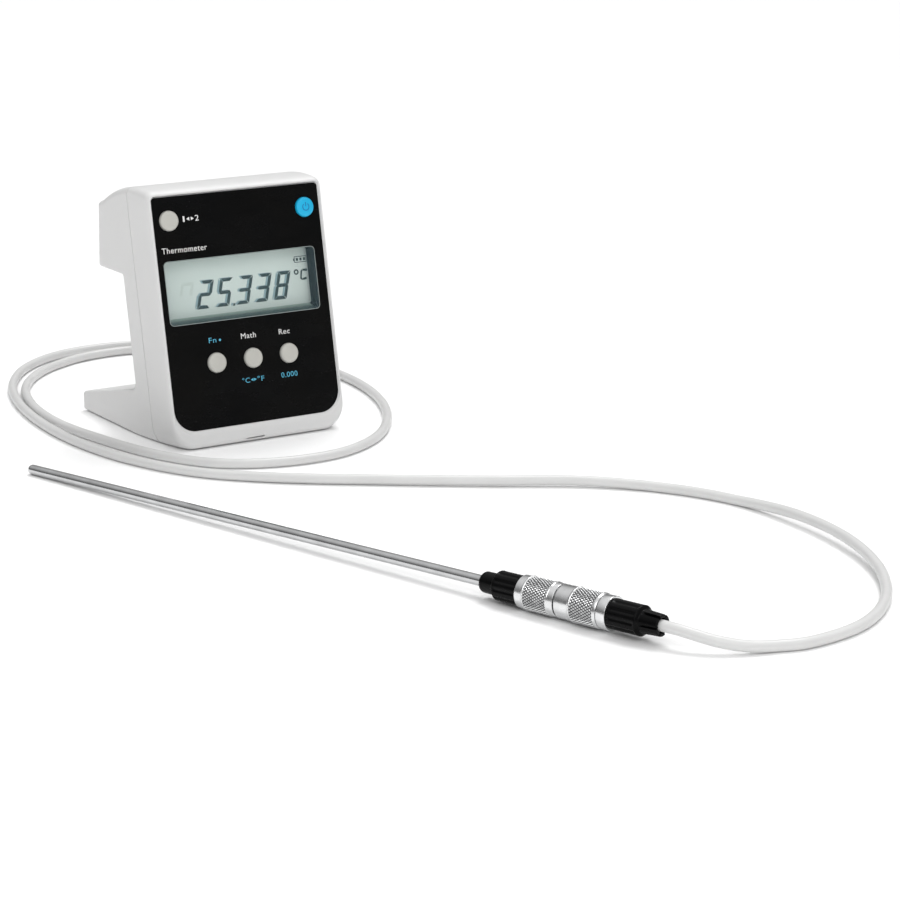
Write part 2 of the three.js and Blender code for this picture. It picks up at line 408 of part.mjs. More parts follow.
// ---------------------------------------------------------------- the lead
// its centreline: out of the case plug, down to the table, one and a half turns round the case and a wide loop to the probe
const ROUTE = [
  [25.0, 26.6, 48.10], [25.0, 33.3, 46.81], [25.0, 40.0, 45.52], [25.3, 54.0, 42.30], [28.5, 72.0, 34.40],
  [35.8, 97.1, 20.84], [51.8, 126.0, 5.10], [63.9, 155.0, 3.10], [65.6, 171.6, 3.10],
  [58.9, 186.4, 3.10], [45.5, 196.3, 3.10], [27.0, 200.3, 3.05], [-4.7, 195.8, 3.05], [-41.7, 173.5, 3.05],
  [-70.2, 137.9, 3.05], [-87.7, 90.2, 3.05], [-94.3, 36.5, 3.05], [-88.2, -20.2, 3.05],
  [-73.6, -76.4, 3.05], [-52.6, -109.8, 3.05], [-19.3, -126.8, 3.05], [19.5, -127.8, 3.05],
  [55.5, -109.7, 3.05], [86.4, -74.7, 3.05], [110.6, -26.7, 3.05], [123.6, 26.4, 3.05],
  [124.4, 81.0, 3.05], [113.4, 134.8, 3.05], [92.5, 178.5, 3.05], [62.4, 206.6, 3.05],
  [25.0, 218.1, 3.05], [-14.0, 212.1, 3.05], [-47.8, 188.5, 3.05], [-75.1, 149.0, 3.05],
  [-93.7, 97.0, 3.05], [-103.3, 37.4, 3.05], [-103.5, -21.8, 3.05], [-93.2, -76.0, 3.05],
  [-72.3, -121.7, 3.05], [-39.7, -157.0, 3.35], [9.8, -194.4, 3.52], [60.9, -230.3, 3.72],
  [109.6, -262.9, 3.84], [141.7, -298.5, 3.05], [160.0, -339.2, 3.07], [164.1, -388.2, 5.98],
  [156.4, -441.8, 6.68], [137.6, -489.5, 5.09], [108.3, -526.7, 3.32], [71.9, -549.6, 3.05],
  [34.0, -555.4, 3.05], [19.0, -551.6, 3.15], [5.5, -547.2, 4.00], [-6.3, -540.3, 6.10],
  [-14.6, -531.8, 8.45], [-20.0, -523.2, 10.10], [-24.0, -513.5, 10.51], [-27.0, -502.9, 10.34], [-29.7, -493.5, 10.18],
].map(([x, y, z]) => new THREE.Vector3(x, y, z));
{
  // stations closer together where the lead bends more
  const dense = new THREE.CatmullRomCurve3(ROUTE).getSpacedPoints(1600);
  for (const p of dense) p.z = Math.max(p.z, CORD_R + 0.05);
  const need = [0];
  for (let k = 1; k < dense.length; k++) {
    const a = dense[Math.max(k - 8, 0)], b = dense[k], c = dense[Math.min(k + 8, dense.length - 1)];
    const u = b.clone().sub(a), w = c.clone().sub(b);
    const bend = u.lengthSq() && w.lengthSq() ? u.angleTo(w) / Math.max(w.length(), 1) : 0;
    need.push(need[k - 1] + dense[k].distanceTo(dense[k - 1]) * (1 / 55 + 1.8 * bend));
  }
  const STEPS = 80, stations = [];
  for (let k = 0, n = 0; k <= STEPS; k++) {
    const target = need[need.length - 1] * k / STEPS;
    while (n < need.length - 1 && need[n] < target) n += 1;
    stations.push(dense[n].clone());
  }
  class Path extends THREE.CatmullRomCurve3 { getUtoTmapping(u) { return u; } }
  const section = new THREE.Shape(Array.from({ length: 10 }, (_, k) => new THREE.Vector2(CORD_R * Math.cos(k * Math.PI / 5), CORD_R * Math.sin(k * Math.PI / 5))));
  const g = new THREE.ExtrudeGeometry(section, { steps: STEPS, extrudePath: new Path(stations), bevelEnabled: false });
  add(root, 'lead', solid(g), M.cable);
}

export default root;
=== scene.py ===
import math
import bmesh
import bpy
import numpy as np
from mathutils import Matrix, Vector
from mathutils.geometry import tessellate_polygon


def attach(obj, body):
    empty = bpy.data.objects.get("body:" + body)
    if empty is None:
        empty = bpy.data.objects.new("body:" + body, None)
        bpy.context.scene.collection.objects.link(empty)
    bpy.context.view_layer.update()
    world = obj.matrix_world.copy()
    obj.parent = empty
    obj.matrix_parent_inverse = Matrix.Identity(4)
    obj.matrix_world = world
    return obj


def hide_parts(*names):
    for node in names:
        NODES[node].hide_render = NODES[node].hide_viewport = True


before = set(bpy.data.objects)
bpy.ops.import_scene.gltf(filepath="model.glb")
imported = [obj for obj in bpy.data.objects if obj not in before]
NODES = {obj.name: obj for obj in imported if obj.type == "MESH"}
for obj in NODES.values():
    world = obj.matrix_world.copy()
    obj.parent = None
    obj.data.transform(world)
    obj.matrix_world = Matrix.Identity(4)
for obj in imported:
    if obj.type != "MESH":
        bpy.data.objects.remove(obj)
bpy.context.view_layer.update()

scene = bpy.context.scene

# ------------------------------------------------------------------ frames (millimetres in, metres out)
TILT = math.radians(10.9)
C, S = math.cos(TILT), math.sin(TILT)


def lean(x, d, v):
    """x across, d behind the overlay, v up along the leaning front."""
    return (x * 0.001, (-66.0 + d * C + v * S) * 0.001, (0.8 - d * S + v * C) * 0.001)


def pv(b, z):
    return (b * C - z * S, b * S + z * C)


YAW = math.atan2(-0.9608, 0.277)
PITCH = math.atan(0.0157)
LINE = Matrix.Translation((-0.1547, -0.0600, 0.0031)) @ Matrix.Rotation(YAW, 4, "Z") @ Matrix.Rotation(-PITCH, 4, "Y") @ Matrix.Scale(0.001, 4)


LINE_BACK = LINE.inverted()


def on_line(s, a, b):
    return tuple(LINE @ Vector((s, a, b)))


def on_depth(x, v):
    """maps (along the depth axis, a, b) for turned pieces at (x, v)."""
    return lambda s, a, b: lean(x + a, s, v + b)


def upright(x, y):
    return lambda s, a, b: ((x + a) * 0.001, (y + b) * 0.001, s * 0.001)


# ------------------------------------------------------------------ camera
cam = bpy.data.objects.new("camera", bpy.data.cameras.new("camera"))
scene.collection.objects.link(cam)
cam.data.lens = 105.78
cam.data.sensor_width = 36.0
cam.location = (-0.7619, -1.4849, 0.42285)
cam.rotation_euler = (math.radians(75.05), 0.0, math.radians(-32.436))
cam.data.clip_start, cam.data.clip_end = 0.05, 100.0
scene.camera = cam

# ------------------------------------------------------------------ materials


class Mat:
    def __init__(self, name):
        self.m = bpy.data.materials.new(name)
        self.m.use_nodes = True
        self.t = self.m.node_tree
        self.b = self.t.nodes["Principled BSDF"]
        self.coord = self.n("ShaderNodeTexCoord").outputs["Object"]

    def n(self, kind, **kw):
        node = self.t.nodes.new(kind)
        for k, v in kw.items():
            setattr(node, k, v)
        return node

    def link(self, a, b):
        self.t.links.new(a, b)

    def noise(self, scale, detail=3.0, rough=0.55, coord=None, stretch=None):
        src = coord or self.coord
        if stretch:
            mp = self.n("ShaderNodeMapping")
            mp.inputs["Scale"].default_value = stretch
            self.link(src, mp.inputs["Vector"])
            src = mp.outputs["Vector"]
        t = self.n("ShaderNodeTexNoise")
        t.inputs["Scale"].default_value = scale
        t.inputs["Detail"].default_value = detail
        t.inputs["Roughness"].default_value = rough
        self.link(src, t.inputs["Vector"])
        return t.outputs["Fac"]

    def ramp(self, fac, stops):
        r = self.n("ShaderNodeValToRGB")
        e = r.color_ramp.elements
        while len(e) < len(stops):
            e.new(0.5)
        for el, (p, col) in zip(e, stops):
            el.position = p
            el.color = (col if len(col) == 4 else (*col, 1.0)) if hasattr(col, "__len__") else (col, col, col, 1.0)
        self.link(fac, r.inputs["Fac"])
        return r.outputs["Color"]

    def math(self, op, a, b=None, c=None):
        m = self.n("ShaderNodeMath", operation=op)
        for i, x in enumerate((a, b, c)):
            if x is None:
                continue
            if isinstance(x, (int, float)):
                m.inputs[i].default_value = x
            else:
                self.link(x, m.inputs[i])
        return m.outputs[0]

    def mix(self, fac, a, b):
        m = self.n("ShaderNodeMix", data_type="RGBA")
        for s, x in ((m.inputs[0], fac), (m.inputs[6], a), (m.inputs[7], b)):
            if isinstance(x, (int, float)):
                s.default_value = x
            elif isinstance(x, tuple):
                s.default_value = (*x, 1.0) if len(x) == 3 else x
            else:
                self.link(x, s)
        return m.outputs[2]

    def bump(self, height, strength, distance, normal=None):
        b = self.n("ShaderNodeBump")
        b.inputs["Strength"].default_value = strength
        b.inputs["Distance"].default_value = distance
        self.link(height, b.inputs["Height"])
        if normal is not None:
            self.link(normal, b.inputs["Normal"])
        return b.outputs["Normal"]

    def set(self, **kw):
        for k, v in kw.items():
            s = self.b.inputs[k.replace("_", " ")]
            if isinstance(v, (int, float)):
                s.default_value = v
            elif isinstance(v, tuple):
                s.default_value = (*v, 1.0) if len(v) == 3 else v
            else:
                self.link(v, s)
        return self


def plastic(name, col, rough, grain=2600.0, grain_h=0.00002, strength=0.35, vary=0.03, rvary=0.06, coat=0.0, spec=0.5, dirt=0.0):
    """moulded plastic: faint colour clouds, uneven gloss and a fine spark-eroded grain."""
    k = Mat(name)
    cloud = k.noise(38.0, 4.0)
    c0 = tuple(max(0.0, x * (1 - vary)) for x in col)
    c1 = tuple(min(1.0, x * (1 + vary)) for x in col)
    colour = k.ramp(cloud, [(0.3, c0), (0.7, c1)])
    if dirt:
        speck = k.ramp(k.noise(420.0, 2.0, 0.7), [(0.66, 0.0), (0.74, 1.0)])
        colour = k.mix(k.math("MULTIPLY", speck, dirt), colour, tuple(x * 0.72 for x in col))
    r = k.ramp(k.noise(150.0, 3.0), [(0.3, max(0.02, rough - rvary)), (0.7, min(1.0, rough + rvary))])
    n1 = k.bump(k.noise(grain, 2.0, 0.6), strength, grain_h)
    n2 = k.bump(k.noise(60.0, 2.0), 0.12, 0.00012, n1)
    k.set(Base_Color=colour, Roughness=r, Normal=n2, Specular_IOR_Level=spec)
    if coat:
        k.set(Coat_Weight=coat, Coat_Roughness=0.12)
    return k.m


def metal(name, col, rough, lines=None, vary=0.10, rvary=0.06, spots=0.0, aniso=0.0):
    """plated or drawn metal: streaks along the working direction, uneven polish and small handling marks."""
    k = Mat(name)
    cloud = k.noise(90.0, 4.0)
    colour = k.ramp(cloud, [(0.3, tuple(x * (1 - vary) for x in col)), (0.7, tuple(min(1, x * (1 + vary)) for x in col))])
    if spots:
        sp = k.ramp(k.noise(700.0, 2.0, 0.8), [(0.62, 0.0), (0.72, 1.0)])
        colour = k.mix(k.math("MULTIPLY", sp, spots), colour, tuple(x * 0.55 for x in col))
    r = k.ramp(k.noise(260.0, 4.0), [(0.3, rough - rvary), (0.7, rough + rvary)])
    streak = k.noise(1.0, 3.0, 0.7, stretch=lines or (2600.0, 2600.0, 2600.0))
    k.set(Base_Color=colour, Roughness=r, Metallic=1.0, Normal=k.bump(streak, 0.22, 0.000012))
    return k.m


WHITE = plastic("case_white_plastic", (0.715, 0.715, 0.712), 0.46, grain=2300.0, grain_h=0.00003, strength=0.5, vary=0.012, dirt=0.10)
DOORW = plastic("door_white_plastic", (0.71, 0.71, 0.707), 0.47, grain=2300.0, grain_h=0.00003, strength=0.5, vary=0.012)
BLACKIN = plastic("inner_black_plastic", (0.018, 0.018, 0.019), 0.5, vary=0.2)
GREYB = plastic("button_grey_silicone", (0.52, 0.515, 0.475), 0.55, grain=1900.0, vary=0.025, dirt=0.06)
BLUEB = plastic("button_blue_silicone", (0.002, 0.44, 0.74), 0.5, grain=1900.0, vary=0.03)
NUT = plastic("nut_black_nylon", (0.0016, 0.0016, 0.0018), 0.27, grain=1500.0, vary=0.2, spec=0.09)
RUB = plastic("foot_black_rubber", (0.022, 0.022, 0.022), 0.8, grain=900.0, grain_h=0.00006, strength=0.6, vary=0.2)
CABLE = plastic("lead_white_jacket", (0.665, 0.665, 0.66), 0.36, grain=900.0, grain_h=0.00002, strength=0.25, vary=0.02, dirt=0.05)
CERAM = plastic("potting_cream", (0.70, 0.66, 0.55), 0.6)
NICKEL = metal("satin_nickel", (0.74, 0.745, 0.75), 0.22, spots=0.18)
STEEL = metal("drawn_stainless", (0.56, 0.565, 0.57), 0.13, spots=0.12, rvary=0.03)
# painted shade: a darker metal laid in the knurl valleys in place of the shade there
GROOVE_PAINTED_SHADE = metal("knurl_valley_painted_shade", (0.12, 0.122, 0.125), 0.45, spots=0.2)
GOLD = metal("gold_contact", (0.72, 0.52, 0.22), 0.25)
SCREW = metal("zinc_screw", (0.42, 0.42, 0.42), 0.3, spots=0.3)


def overlay_material():
    k = Mat("overlay_black_film")
    cloud = k.noise(30.0, 5.0)
    colour = k.ramp(cloud, [(0.3, (0.0018, 0.0021, 0.0024)), (0.75, (0.0036, 0.0034, 0.0031))])
    dust = k.ramp(k.noise(1500.0, 1.0, 0.9), [(0.74, 0.0), (0.80, 1.0)])
    colour = k.mix(k.math("MULTIPLY", dust, 0.02), colour, (0.25, 0.25, 0.25))
    smear = k.noise(22.0, 5.0, 0.65, stretch=(1.0, 1.0, 2.4))
    r = k.ramp(smear, [(0.3, 0.20), (0.7, 0.32)])
    k.set(Base_Color=colour, Roughness=r, Specular_IOR_Level=0.14, Normal=k.bump(k.noise(3200.0, 2.0), 0.18, 0.00001))
    return k.m


OVER = overlay_material()


def dot_coord(k, vec, add):
    """a distance in millimetres along a direction of the row frame."""
    v = k.n("ShaderNodeVectorMath", operation="DOT_PRODUCT")
    k.link(k.coord, v.inputs[0])
    v.inputs[1].default_value = vec
    return k.math("MULTIPLY_ADD", v.outputs["Value"], 1000.0, add)


def lcd_material():
    """reflective display: grey-green, with painted shade darkening it towards the bottom and a painted shadow
    darkening it near the right wall, where the reflector looks into the deep right and lower walls.
    """
    k = Mat("display_grey_green")
    height = dot_coord(k, (0.0, S, C), 66.0 * S - 0.8 * C)
    across = dot_coord(k, (1.0, 0.0, 0.0), 0.0)
    # painted shade: the glass darkens towards its bottom edge
    low = k.ramp(k.math("DIVIDE", k.math("SUBTRACT", height, 74.0), 46.0), [(0.10, 0.80), (0.30, 0.965), (0.60, 1.0)])
    # painted shadow: the glass darkens near the right wall, and slightly at the left edge
    right = k.ramp(k.math("DIVIDE", k.math("ADD", across, 60.0), 120.0), [(0.0, 0.965), (0.45, 1.0), (0.88, 0.975), (0.905, 0.86), (0.918, 0.55), (0.93, 0.3)])
    cloud = k.ramp(k.noise(24.0, 3.0), [(0.3, 0.975), (0.7, 1.02)])
    shade = k.math("MULTIPLY", k.math("MULTIPLY", low, right), cloud)
    base = k.mix(shade, (0.030, 0.052, 0.064), (0.69, 0.75, 0.725))
    grain = k.noise(5200.0, 1.0, 0.6)
    k.set(Base_Color=base, Roughness=k.ramp(k.noise(300.0), [(0.3, 0.30), (0.7, 0.40)]), Specular_IOR_Level=0.35, Normal=k.bump(grain, 0.15, 0.00001))
    return k.m


def bezel_material():
    """smooth tunnel wall: the lower wall carries painted shade, dark at the front and light grey-green near the glass;
    the right wall's dark blue-grey is partly the wall's own colour and partly painted shade.
    """
    k = Mat("bezel_blue_grey")
    depth = dot_coord(k, (0.0, C, -S), 66.0 * C + 0.8 * S)
    across = dot_coord(k, (1.0, 0.0, 0.0), 0.0)
    side = k.ramp(k.math("DIVIDE", k.math("ADD", across, 60.0), 120.0), [(0.9045, 0.0), (0.911, 1.0)])
    d = k.math("DIVIDE", depth, 10.0)
    # painted shade on the lower wall: darkest at the front, lightening to grey-green near the glass
    lower = k.ramp(d, [(0.08, (0.025, 0.040, 0.042)), (0.45, (0.08, 0.115, 0.11)), (0.97, (0.36, 0.44, 0.40))])
    # right wall: dark blue-grey deepened by painted shade, darkest midway down the tunnel
    right = k.ramp(d, [(0.05, (0.018, 0.032, 0.040)), (0.6, (0.007, 0.014, 0.018)), (0.95, (0.012, 0.024, 0.030))])
    colour = k.mix(side, lower, right)
    k.set(Base_Color=colour, Specular_IOR_Level=0.10, Roughness=k.ramp(k.noise(400.0), [(0.3, 0.44), (0.7, 0.56)]), Normal=k.bump(k.noise(2600.0, 2.0), 0.2, 0.00002))
    return k.m


def window_material():
    k = Mat("window_clear_film")
    t, out = k.t, k.t.nodes["Material Output"]
    k.set(Base_Color=(0.62, 0.86, 0.94), Roughness=k.ramp(k.noise(200.0), [(0.3, 0.06), (0.7, 0.12)]), Specular_IOR_Level=0.5)
    tr = k.n("ShaderNodeBsdfTransparent")
    tr.inputs["Color"].default_value = (0.985, 0.995, 0.99, 1.0)
    mx = k.n("ShaderNodeMixShader")
    mx.inputs[0].default_value = 0.024
    k.link(tr.outputs[0], mx.inputs[1])
    k.link(k.b.outputs[0], mx.inputs[2])
    k.link(mx.outputs[0], out.inputs["Surface"])
    return k.m


def ink(name, col, rough=0.5, edge=0.12):
    k = Mat(name)
    c = k.ramp(k.noise(900.0, 3.0, 0.7), [(0.35, tuple(x * (1 - edge) for x in col)), (0.65, col)])
    k.set(Base_Color=c, Roughness=k.ramp(k.noise(1200.0), [(0.3, rough - 0.05), (0.7, rough + 0.05)]), Normal=k.bump(k.noise(3000.0), 0.15, 0.00001))
    return k.m


LCD, BEZEL, WINDOW = lcd_material(), bezel_material(), window_material()
INKW = ink("print_white", (0.88, 0.88, 0.87))
INKB = ink("print_light_blue", (0.10, 0.48, 0.68))
SEG = ink("segment_dark", (0.030, 0.058, 0.064), 0.4)
SEGS = ink("segment_shadow", (0.30, 0.42, 0.46), 0.5)
GHOST = ink("segment_ghost", (0.61, 0.67, 0.64), 0.5, edge=0.03)
SYMB = ink("symbol_dark_blue", (0.004, 0.14, 0.42), 0.5)


def board_material():
    k = Mat("board_solder_mask")
    tracks = k.n("ShaderNodeTexBrick")
    tracks.inputs["Scale"].default_value = 160.0
    tracks.inputs["Mortar Size"].default_value = 0.03
    tracks.inputs["Color1"].default_value = (0.012, 0.11, 0.04, 1)
    tracks.inputs["Color2"].default_value = (0.014, 0.13, 0.045, 1)
    tracks.inputs["Mortar"].default_value = (0.03, 0.22, 0.08, 1)
    k.link(k.coord, tracks.inputs["Vector"])
    k.set(Base_Color=tracks.outputs["Color"], Roughness=k.ramp(k.noise(300.0), [(0.3, 0.3), (0.7, 0.45)]), Normal=k.bump(tracks.outputs["Fac"], 0.2, 0.00003))
    return k.m


def cell_material():
    k = Mat("cell_printed_sleeve")
    across = dot_coord(k, (1.0, 0.0, 0.0), 0.0)
    band = k.math("FRACT", k.math("DIVIDE", k.math("ADD", across, 50.6), 51.2))
    colour = k.ramp(band, [(0.0, (0.05, 0.06, 0.20)), (0.69, (0.05, 0.06, 0.20)), (0.70, (0.75, 0.62, 0.30)), (0.95, (0.75, 0.62, 0.30))])
    k.set(Base_Color=colour, Roughness=k.ramp(k.noise(260.0), [(0.3, 0.25), (0.7, 0.38)]), Metallic=0.3, Normal=k.bump(k.noise(120.0), 0.15, 0.00005))
    return k.m


BOARD, CELL = board_material(), cell_material()

# ------------------------------------------------------------------ mesh helpers


def make(name, verts, faces, mat, body="case", slot=None, replaces=(), angle=38.0):
    me = bpy.data.meshes.new(name)
    me.from_pydata([tuple(v) for v in verts], [], faces)
    bm = bmesh.new()
    bm.from_mesh(me)
    bmesh.ops.remove_doubles(bm, verts=bm.verts, dist=2e-7)
    bmesh.ops.dissolve_degenerate(bm, edges=bm.edges, dist=1e-7)
    bmesh.ops.recalc_face_normals(bm, faces=bm.faces)
    bm.to_mesh(me)
    bm.free()
    me.shade_smooth()
    me.set_sharp_from_angle(angle=math.radians(angle))
    o = bpy.data.objects.new(name, me)
    scene.collection.objects.link(o)
    me.materials.append(mat)
    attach(o, body)
    if replaces:
        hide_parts(*replaces)
    return o


def loft(rings, closed=False, caps=True):
    """rings of equal length, each a closed loop of points."""
    n, verts, faces = len(rings[0]), [], []
    for r in rings:
        verts += r
    m = len(rings)
    for i in range(m if closed else m - 1):
        a, b = i * n, ((i + 1) % m) * n
        for j in range(n):
            k = (j + 1) % n
            faces.append((a + j, a + k, b + k, b + j))
    if caps and not closed:
        faces.append(tuple(range(n)))
        faces.append(tuple(reversed(range((m - 1) * n, m * n))))
    return verts, faces


def turned(name, profile, place, mat, segs=64, closed=False, radius=None, **kw):
    """profile of (along, radius). An end on the axis is closed. radius(s, angle, r) may shape the surface."""
    rings = []
    for s, r in profile:
        ring = []
        for j in range(segs):
            t = 2 * math.pi * j / segs
            q = radius(s, t, r) if radius else r
            ring.append(place(s, max(q, 1e-5) * math.cos(t), max(q, 1e-5) * math.sin(t)))
        rings.append(ring)
    v, f = loft(rings, closed=closed)
    return make(name, v, f, mat, **kw)


def rounded(profile, r=0.25, n=3, closed=False):
    """rounds the corners of a (along, radius) profile."""
    out, m = [], len(profile)
    for i, p in enumerate(profile):
        if not closed and i in (0, m - 1):
            out.append(p)
            continue
        a, b = np.array(profile[i - 1], float), np.array(profile[(i + 1) % m], float)
        p = np.array(p, float)
        u, w = a - p, b - p
        lu, lw = np.linalg.norm(u), np.linalg.norm(w)
        k = min(r, 0.45 * lu, 0.45 * lw)
        if abs(np.cross(u / lu, w / lw)) < 0.05:
            out.append(tuple(p))
            continue
        s, e = p + u / lu * k, p + w / lw * k
        for j in range(n + 1):
            t = j / n
            out.append(tuple((1 - t) ** 2 * s + 2 * t * (1 - t) * p + t * t * e))
    return out


def rows(a, b, n):
    return [a + (b - a) * i / n for i in range(n + 1)]


def tri(x):
    f = x - math.floor(x)
    return 1 - abs(2 * f - 1)


def knurl(zones, teeth=36, pitch=2.5, depth=0.6):
    """diamond knurl on the (from, to) stretches."""
    def f(s, t, r):
        for lo, hi in zones:
            if lo < s < hi and r > 8.0:
                fade = min(1.0, (s - lo) / 0.3, (hi - s) / 0.3)
                a = t / (2 * math.pi) * teeth
                h = min(tri(a + s / pitch), tri(a - s / pitch))
                return r - depth * fade * (1 - min(1.0, 1.2 * h))
        return r
    return f


def off_line(p):
    s, a, b = LINE_BACK @ p
    return s, math.hypot(a, b)


def off_depth(x, v):
    def f(p):
        y, z = p.y * 1000 + 66.0, p.z * 1000 - 0.8
        return y * C - z * S, math.hypot(p.x * 1000 - x, y * S + z * C - v)
    return f


def grooves(o, back, zones, below, mat):
    """the valley floors of the knurl take a rougher metal whose darker colour is painted shade in the grooves."""
    o.data.materials.append(mat)
    for poly in o.data.polygons:
        s, r = back(poly.center)
        if r < below and any(lo < s < hi for lo, hi in zones):
            poly.material_index = 1
    return o


def ribs(lo, hi, count=10, depth=0.62):
    def f(s, t, r):
        if lo < s < hi and r > 6.9:
            fade = min(1.0, (s - lo) / 0.8, (hi - s) / 0.8)
            h = 0.5 - 0.5 * math.cos(t * count)
            return r - depth * fade * (1 - h) ** 2.6
        return r
    return f


def outline(hx, v0, vt, rt, rb, low=None, nt=8, nb=22):
    """the case's front outline, anticlockwise from the bottom centre, cut off below low."""
    p = [(x, v0) for x in np.linspace(0, hx - rb, 5)[:-1]]
    p += [(hx - rb + rb * math.sin(a), v0 + rb - rb * math.cos(a)) for a in np.linspace(0, math.pi / 2, nb)]
    p += [(hx, v) for v in np.linspace(v0 + rb, vt - rt, 8)[1:-1]]
    p += [(hx - rt + rt * math.cos(a), vt - rt + rt * math.sin(a)) for a in np.linspace(0, math.pi / 2, nt)]
    p += [(x, vt) for x in np.linspace(hx - rt, -(hx - rt), 6)[1:-1]]
    p += [(-hx + rt - rt * math.sin(a), vt - rt + rt * math.cos(a)) for a in np.linspace(0, math.pi / 2, nt)]
    p += [(-hx, v) for v in np.linspace(vt - rt, v0 + rb, 8)[1:-1]]
    p += [(-hx + rb - rb * math.cos(a), v0 + rb - rb * math.sin(a)) for a in np.linspace(0, math.pi / 2, nb)]
    p += [(x, v0) for x in np.linspace(-(hx - rb), 0, 5)[1:-1]]
    if low is not None:
        p = [(x, max(v, low)) for x, v in p]
    return p


def bevel(o, width, segs=2, angle=35.0):
    m = o.modifiers.new("edge", "BEVEL")
    m.width, m.segments, m.limit_method, m.angle_limit = width, segs, "ANGLE", math.radians(angle)
    m.harden_normals = False
    return o


def cut(o, *tools):
    for t in tools:
        m = o.modifiers.new("cut", "BOOLEAN")
        m.operation, m.solver, m.object = "DIFFERENCE", "EXACT", t
    bpy.context.view_layer.update()
    dg = bpy.context.evaluated_depsgraph_get()
    me = bpy.data.meshes.new_from_object(o.evaluated_get(dg))
    o.modifiers.clear()
    old = o.data
    o.data = me
    bpy.data.meshes.remove(old)
    for t in tools:
        bpy.data.objects.remove(t)
    return o


def tool(verts, faces):
    me = bpy.data.meshes.new("tool")
    me.from_pydata([tuple(v) for v in verts], [], faces)
    bm = bmesh.new()
    bm.from_mesh(me)
    bmesh.ops.recalc_face_normals(bm, faces=bm.faces)
    bm.to_mesh(me)
    bm.free()
    o = bpy.data.objects.new("tool", me)
    scene.collection.objects.link(o)
    return o


def prism_tool(poly, x0, x1):
    return tool(*loft([[lean(x0, d, v) for d, v in poly], [lean(x1, d, v) for d, v in poly]]))


def rod_tool(d0, d1, r, x, v, n=32):
    return tool(*loft([[lean(x + r * math.cos(2 * math.pi * j / n), d, v + r * math.sin(2 * math.pi * j / n)) for j in range(n)] for d in (d0, d1)]))


def plate(name, outer, holes, d0, d1, mat, place=lean, bev=0.0, **kw):
    """flat plate with holes, outline points (x, v), from depth d0 (front) to d1."""
    loops = [outer] + list(holes)
    flat = [p for lp in loops for p in lp]
    tris = tessellate_polygon([[Vector((x, v, 0)) for x, v in lp] for lp in loops])
    n = len(flat)
    verts = [place(x, d0, v) for x, v in flat] + [place(x, d1, v) for x, v in flat]
    faces = [tuple(t) for t in tris] + [tuple(i + n for i in reversed(t)) for t in tris]
    k = 0
    for lp in loops:
        m = len(lp)
        for j in range(m):
            a, b = k + j, k + (j + 1) % m
            faces.append((a, b, b + n, a + n))
        k += m
    return make(name, verts, faces, mat, **kw)


def circle(x, v, r, n=48):
    return [(x + r * math.cos(2 * math.pi * j / n), v + r * math.sin(2 * math.pi * j / n)) for j in range(n)]


# ------------------------------------------------------------------ the lead
ROUTE = [
    (25.0, 26.6, 48.10), (25.0, 33.3, 46.81), (25.0, 40.0, 45.52), (25.3, 54.0, 42.30), (28.5, 72.0, 34.40),
    (35.8, 97.1, 20.84), (51.8, 126.0, 5.10), (63.9, 155.0, 3.10), (65.6, 171.6, 3.10),
    (58.9, 186.4, 3.10), (45.5, 196.3, 3.10), (27.0, 200.3, 3.05), (-4.7, 195.8, 3.05), (-41.7, 173.5, 3.05),
    (-70.2, 137.9, 3.05), (-87.7, 90.2, 3.05), (-94.3, 36.5, 3.05), (-88.2, -20.2, 3.05),
    (-73.6, -76.4, 3.05), (-52.6, -109.8, 3.05), (-19.3, -126.8, 3.05), (19.5, -127.8, 3.05),
    (55.5, -109.7, 3.05), (86.4, -74.7, 3.05), (110.6, -26.7, 3.05), (123.6, 26.4, 3.05),
    (124.4, 81.0, 3.05), (113.4, 134.8, 3.05), (92.5, 178.5, 3.05), (62.4, 206.6, 3.05),
    (25.0, 218.1, 3.05), (-14.0, 212.1, 3.05), (-47.8, 188.5, 3.05), (-75.1, 149.0, 3.05),
    (-93.7, 97.0, 3.05), (-103.3, 37.4, 3.05), (-103.5, -21.8, 3.05), (-93.2, -76.0, 3.05),
    (-72.3, -121.7, 3.05), (-39.7, -157.0, 3.35), (9.8, -194.4, 3.52), (60.9, -230.3, 3.72),
    (109.6, -262.9, 3.84), (141.7, -298.5, 3.05), (160.0, -339.2, 3.07), (164.1, -388.2, 5.98),
    (156.4, -441.8, 6.68), (137.6, -489.5, 5.09), (108.3, -526.7, 3.32), (71.9, -549.6, 3.05),
    (34.0, -555.4, 3.05), (19.0, -551.6, 3.15), (5.5, -547.2, 4.00), (-6.3, -540.3, 6.10),
    (-14.6, -531.8, 8.45), (-20.0, -523.2, 10.10), (-24.0, -513.5, 10.51), (-27.0, -502.9, 10.34), (-29.7, -493.5, 10.18),
]


def smooth_route(pts, per=14):
    """centripetal spline through the points."""
    p = [Vector(q) for q in pts]
    p = [p[0] * 2 - p[1]] + p + [p[-1] * 2 - p[-2]]
    out = []
    for i in range(1, len(p) - 2):
        a, b, c, d = p[i - 1], p[i], p[i + 1], p[i + 2]
        t0 = 0.0
        t1 = t0 + (b - a).length ** 0.5
        t2 = t1 + (c - b).length ** 0.5
        t3 = t2 + (d - c).length ** 0.5
        for k in range(per):
            t = t1 + (t2 - t1) * k / per
            a1 = a * ((t1 - t) / (t1 - t0)) + b * ((t - t0) / (t1 - t0))
            a2 = b * ((t2 - t) / (t2 - t1)) + c * ((t - t1) / (t2 - t1))
            a3 = c * ((t3 - t) / (t3 - t2)) + d * ((t - t2) / (t3 - t2))
            b1 = a1 * ((t2 - t) / (t2 - t0)) + a2 * ((t - t0) / (t2 - t0))
            b2 = a2 * ((t3 - t) / (t3 - t1)) + a3 * ((t - t1) / (t3 - t1))
            q = b1 * ((t2 - t) / (t2 - t1)) + b2 * ((t - t1) / (t2 - t1))
            q.z = max(q.z, 3.05)
            out.append(q * 0.001)
    out.append(p[-2] * 0.001)
    return out


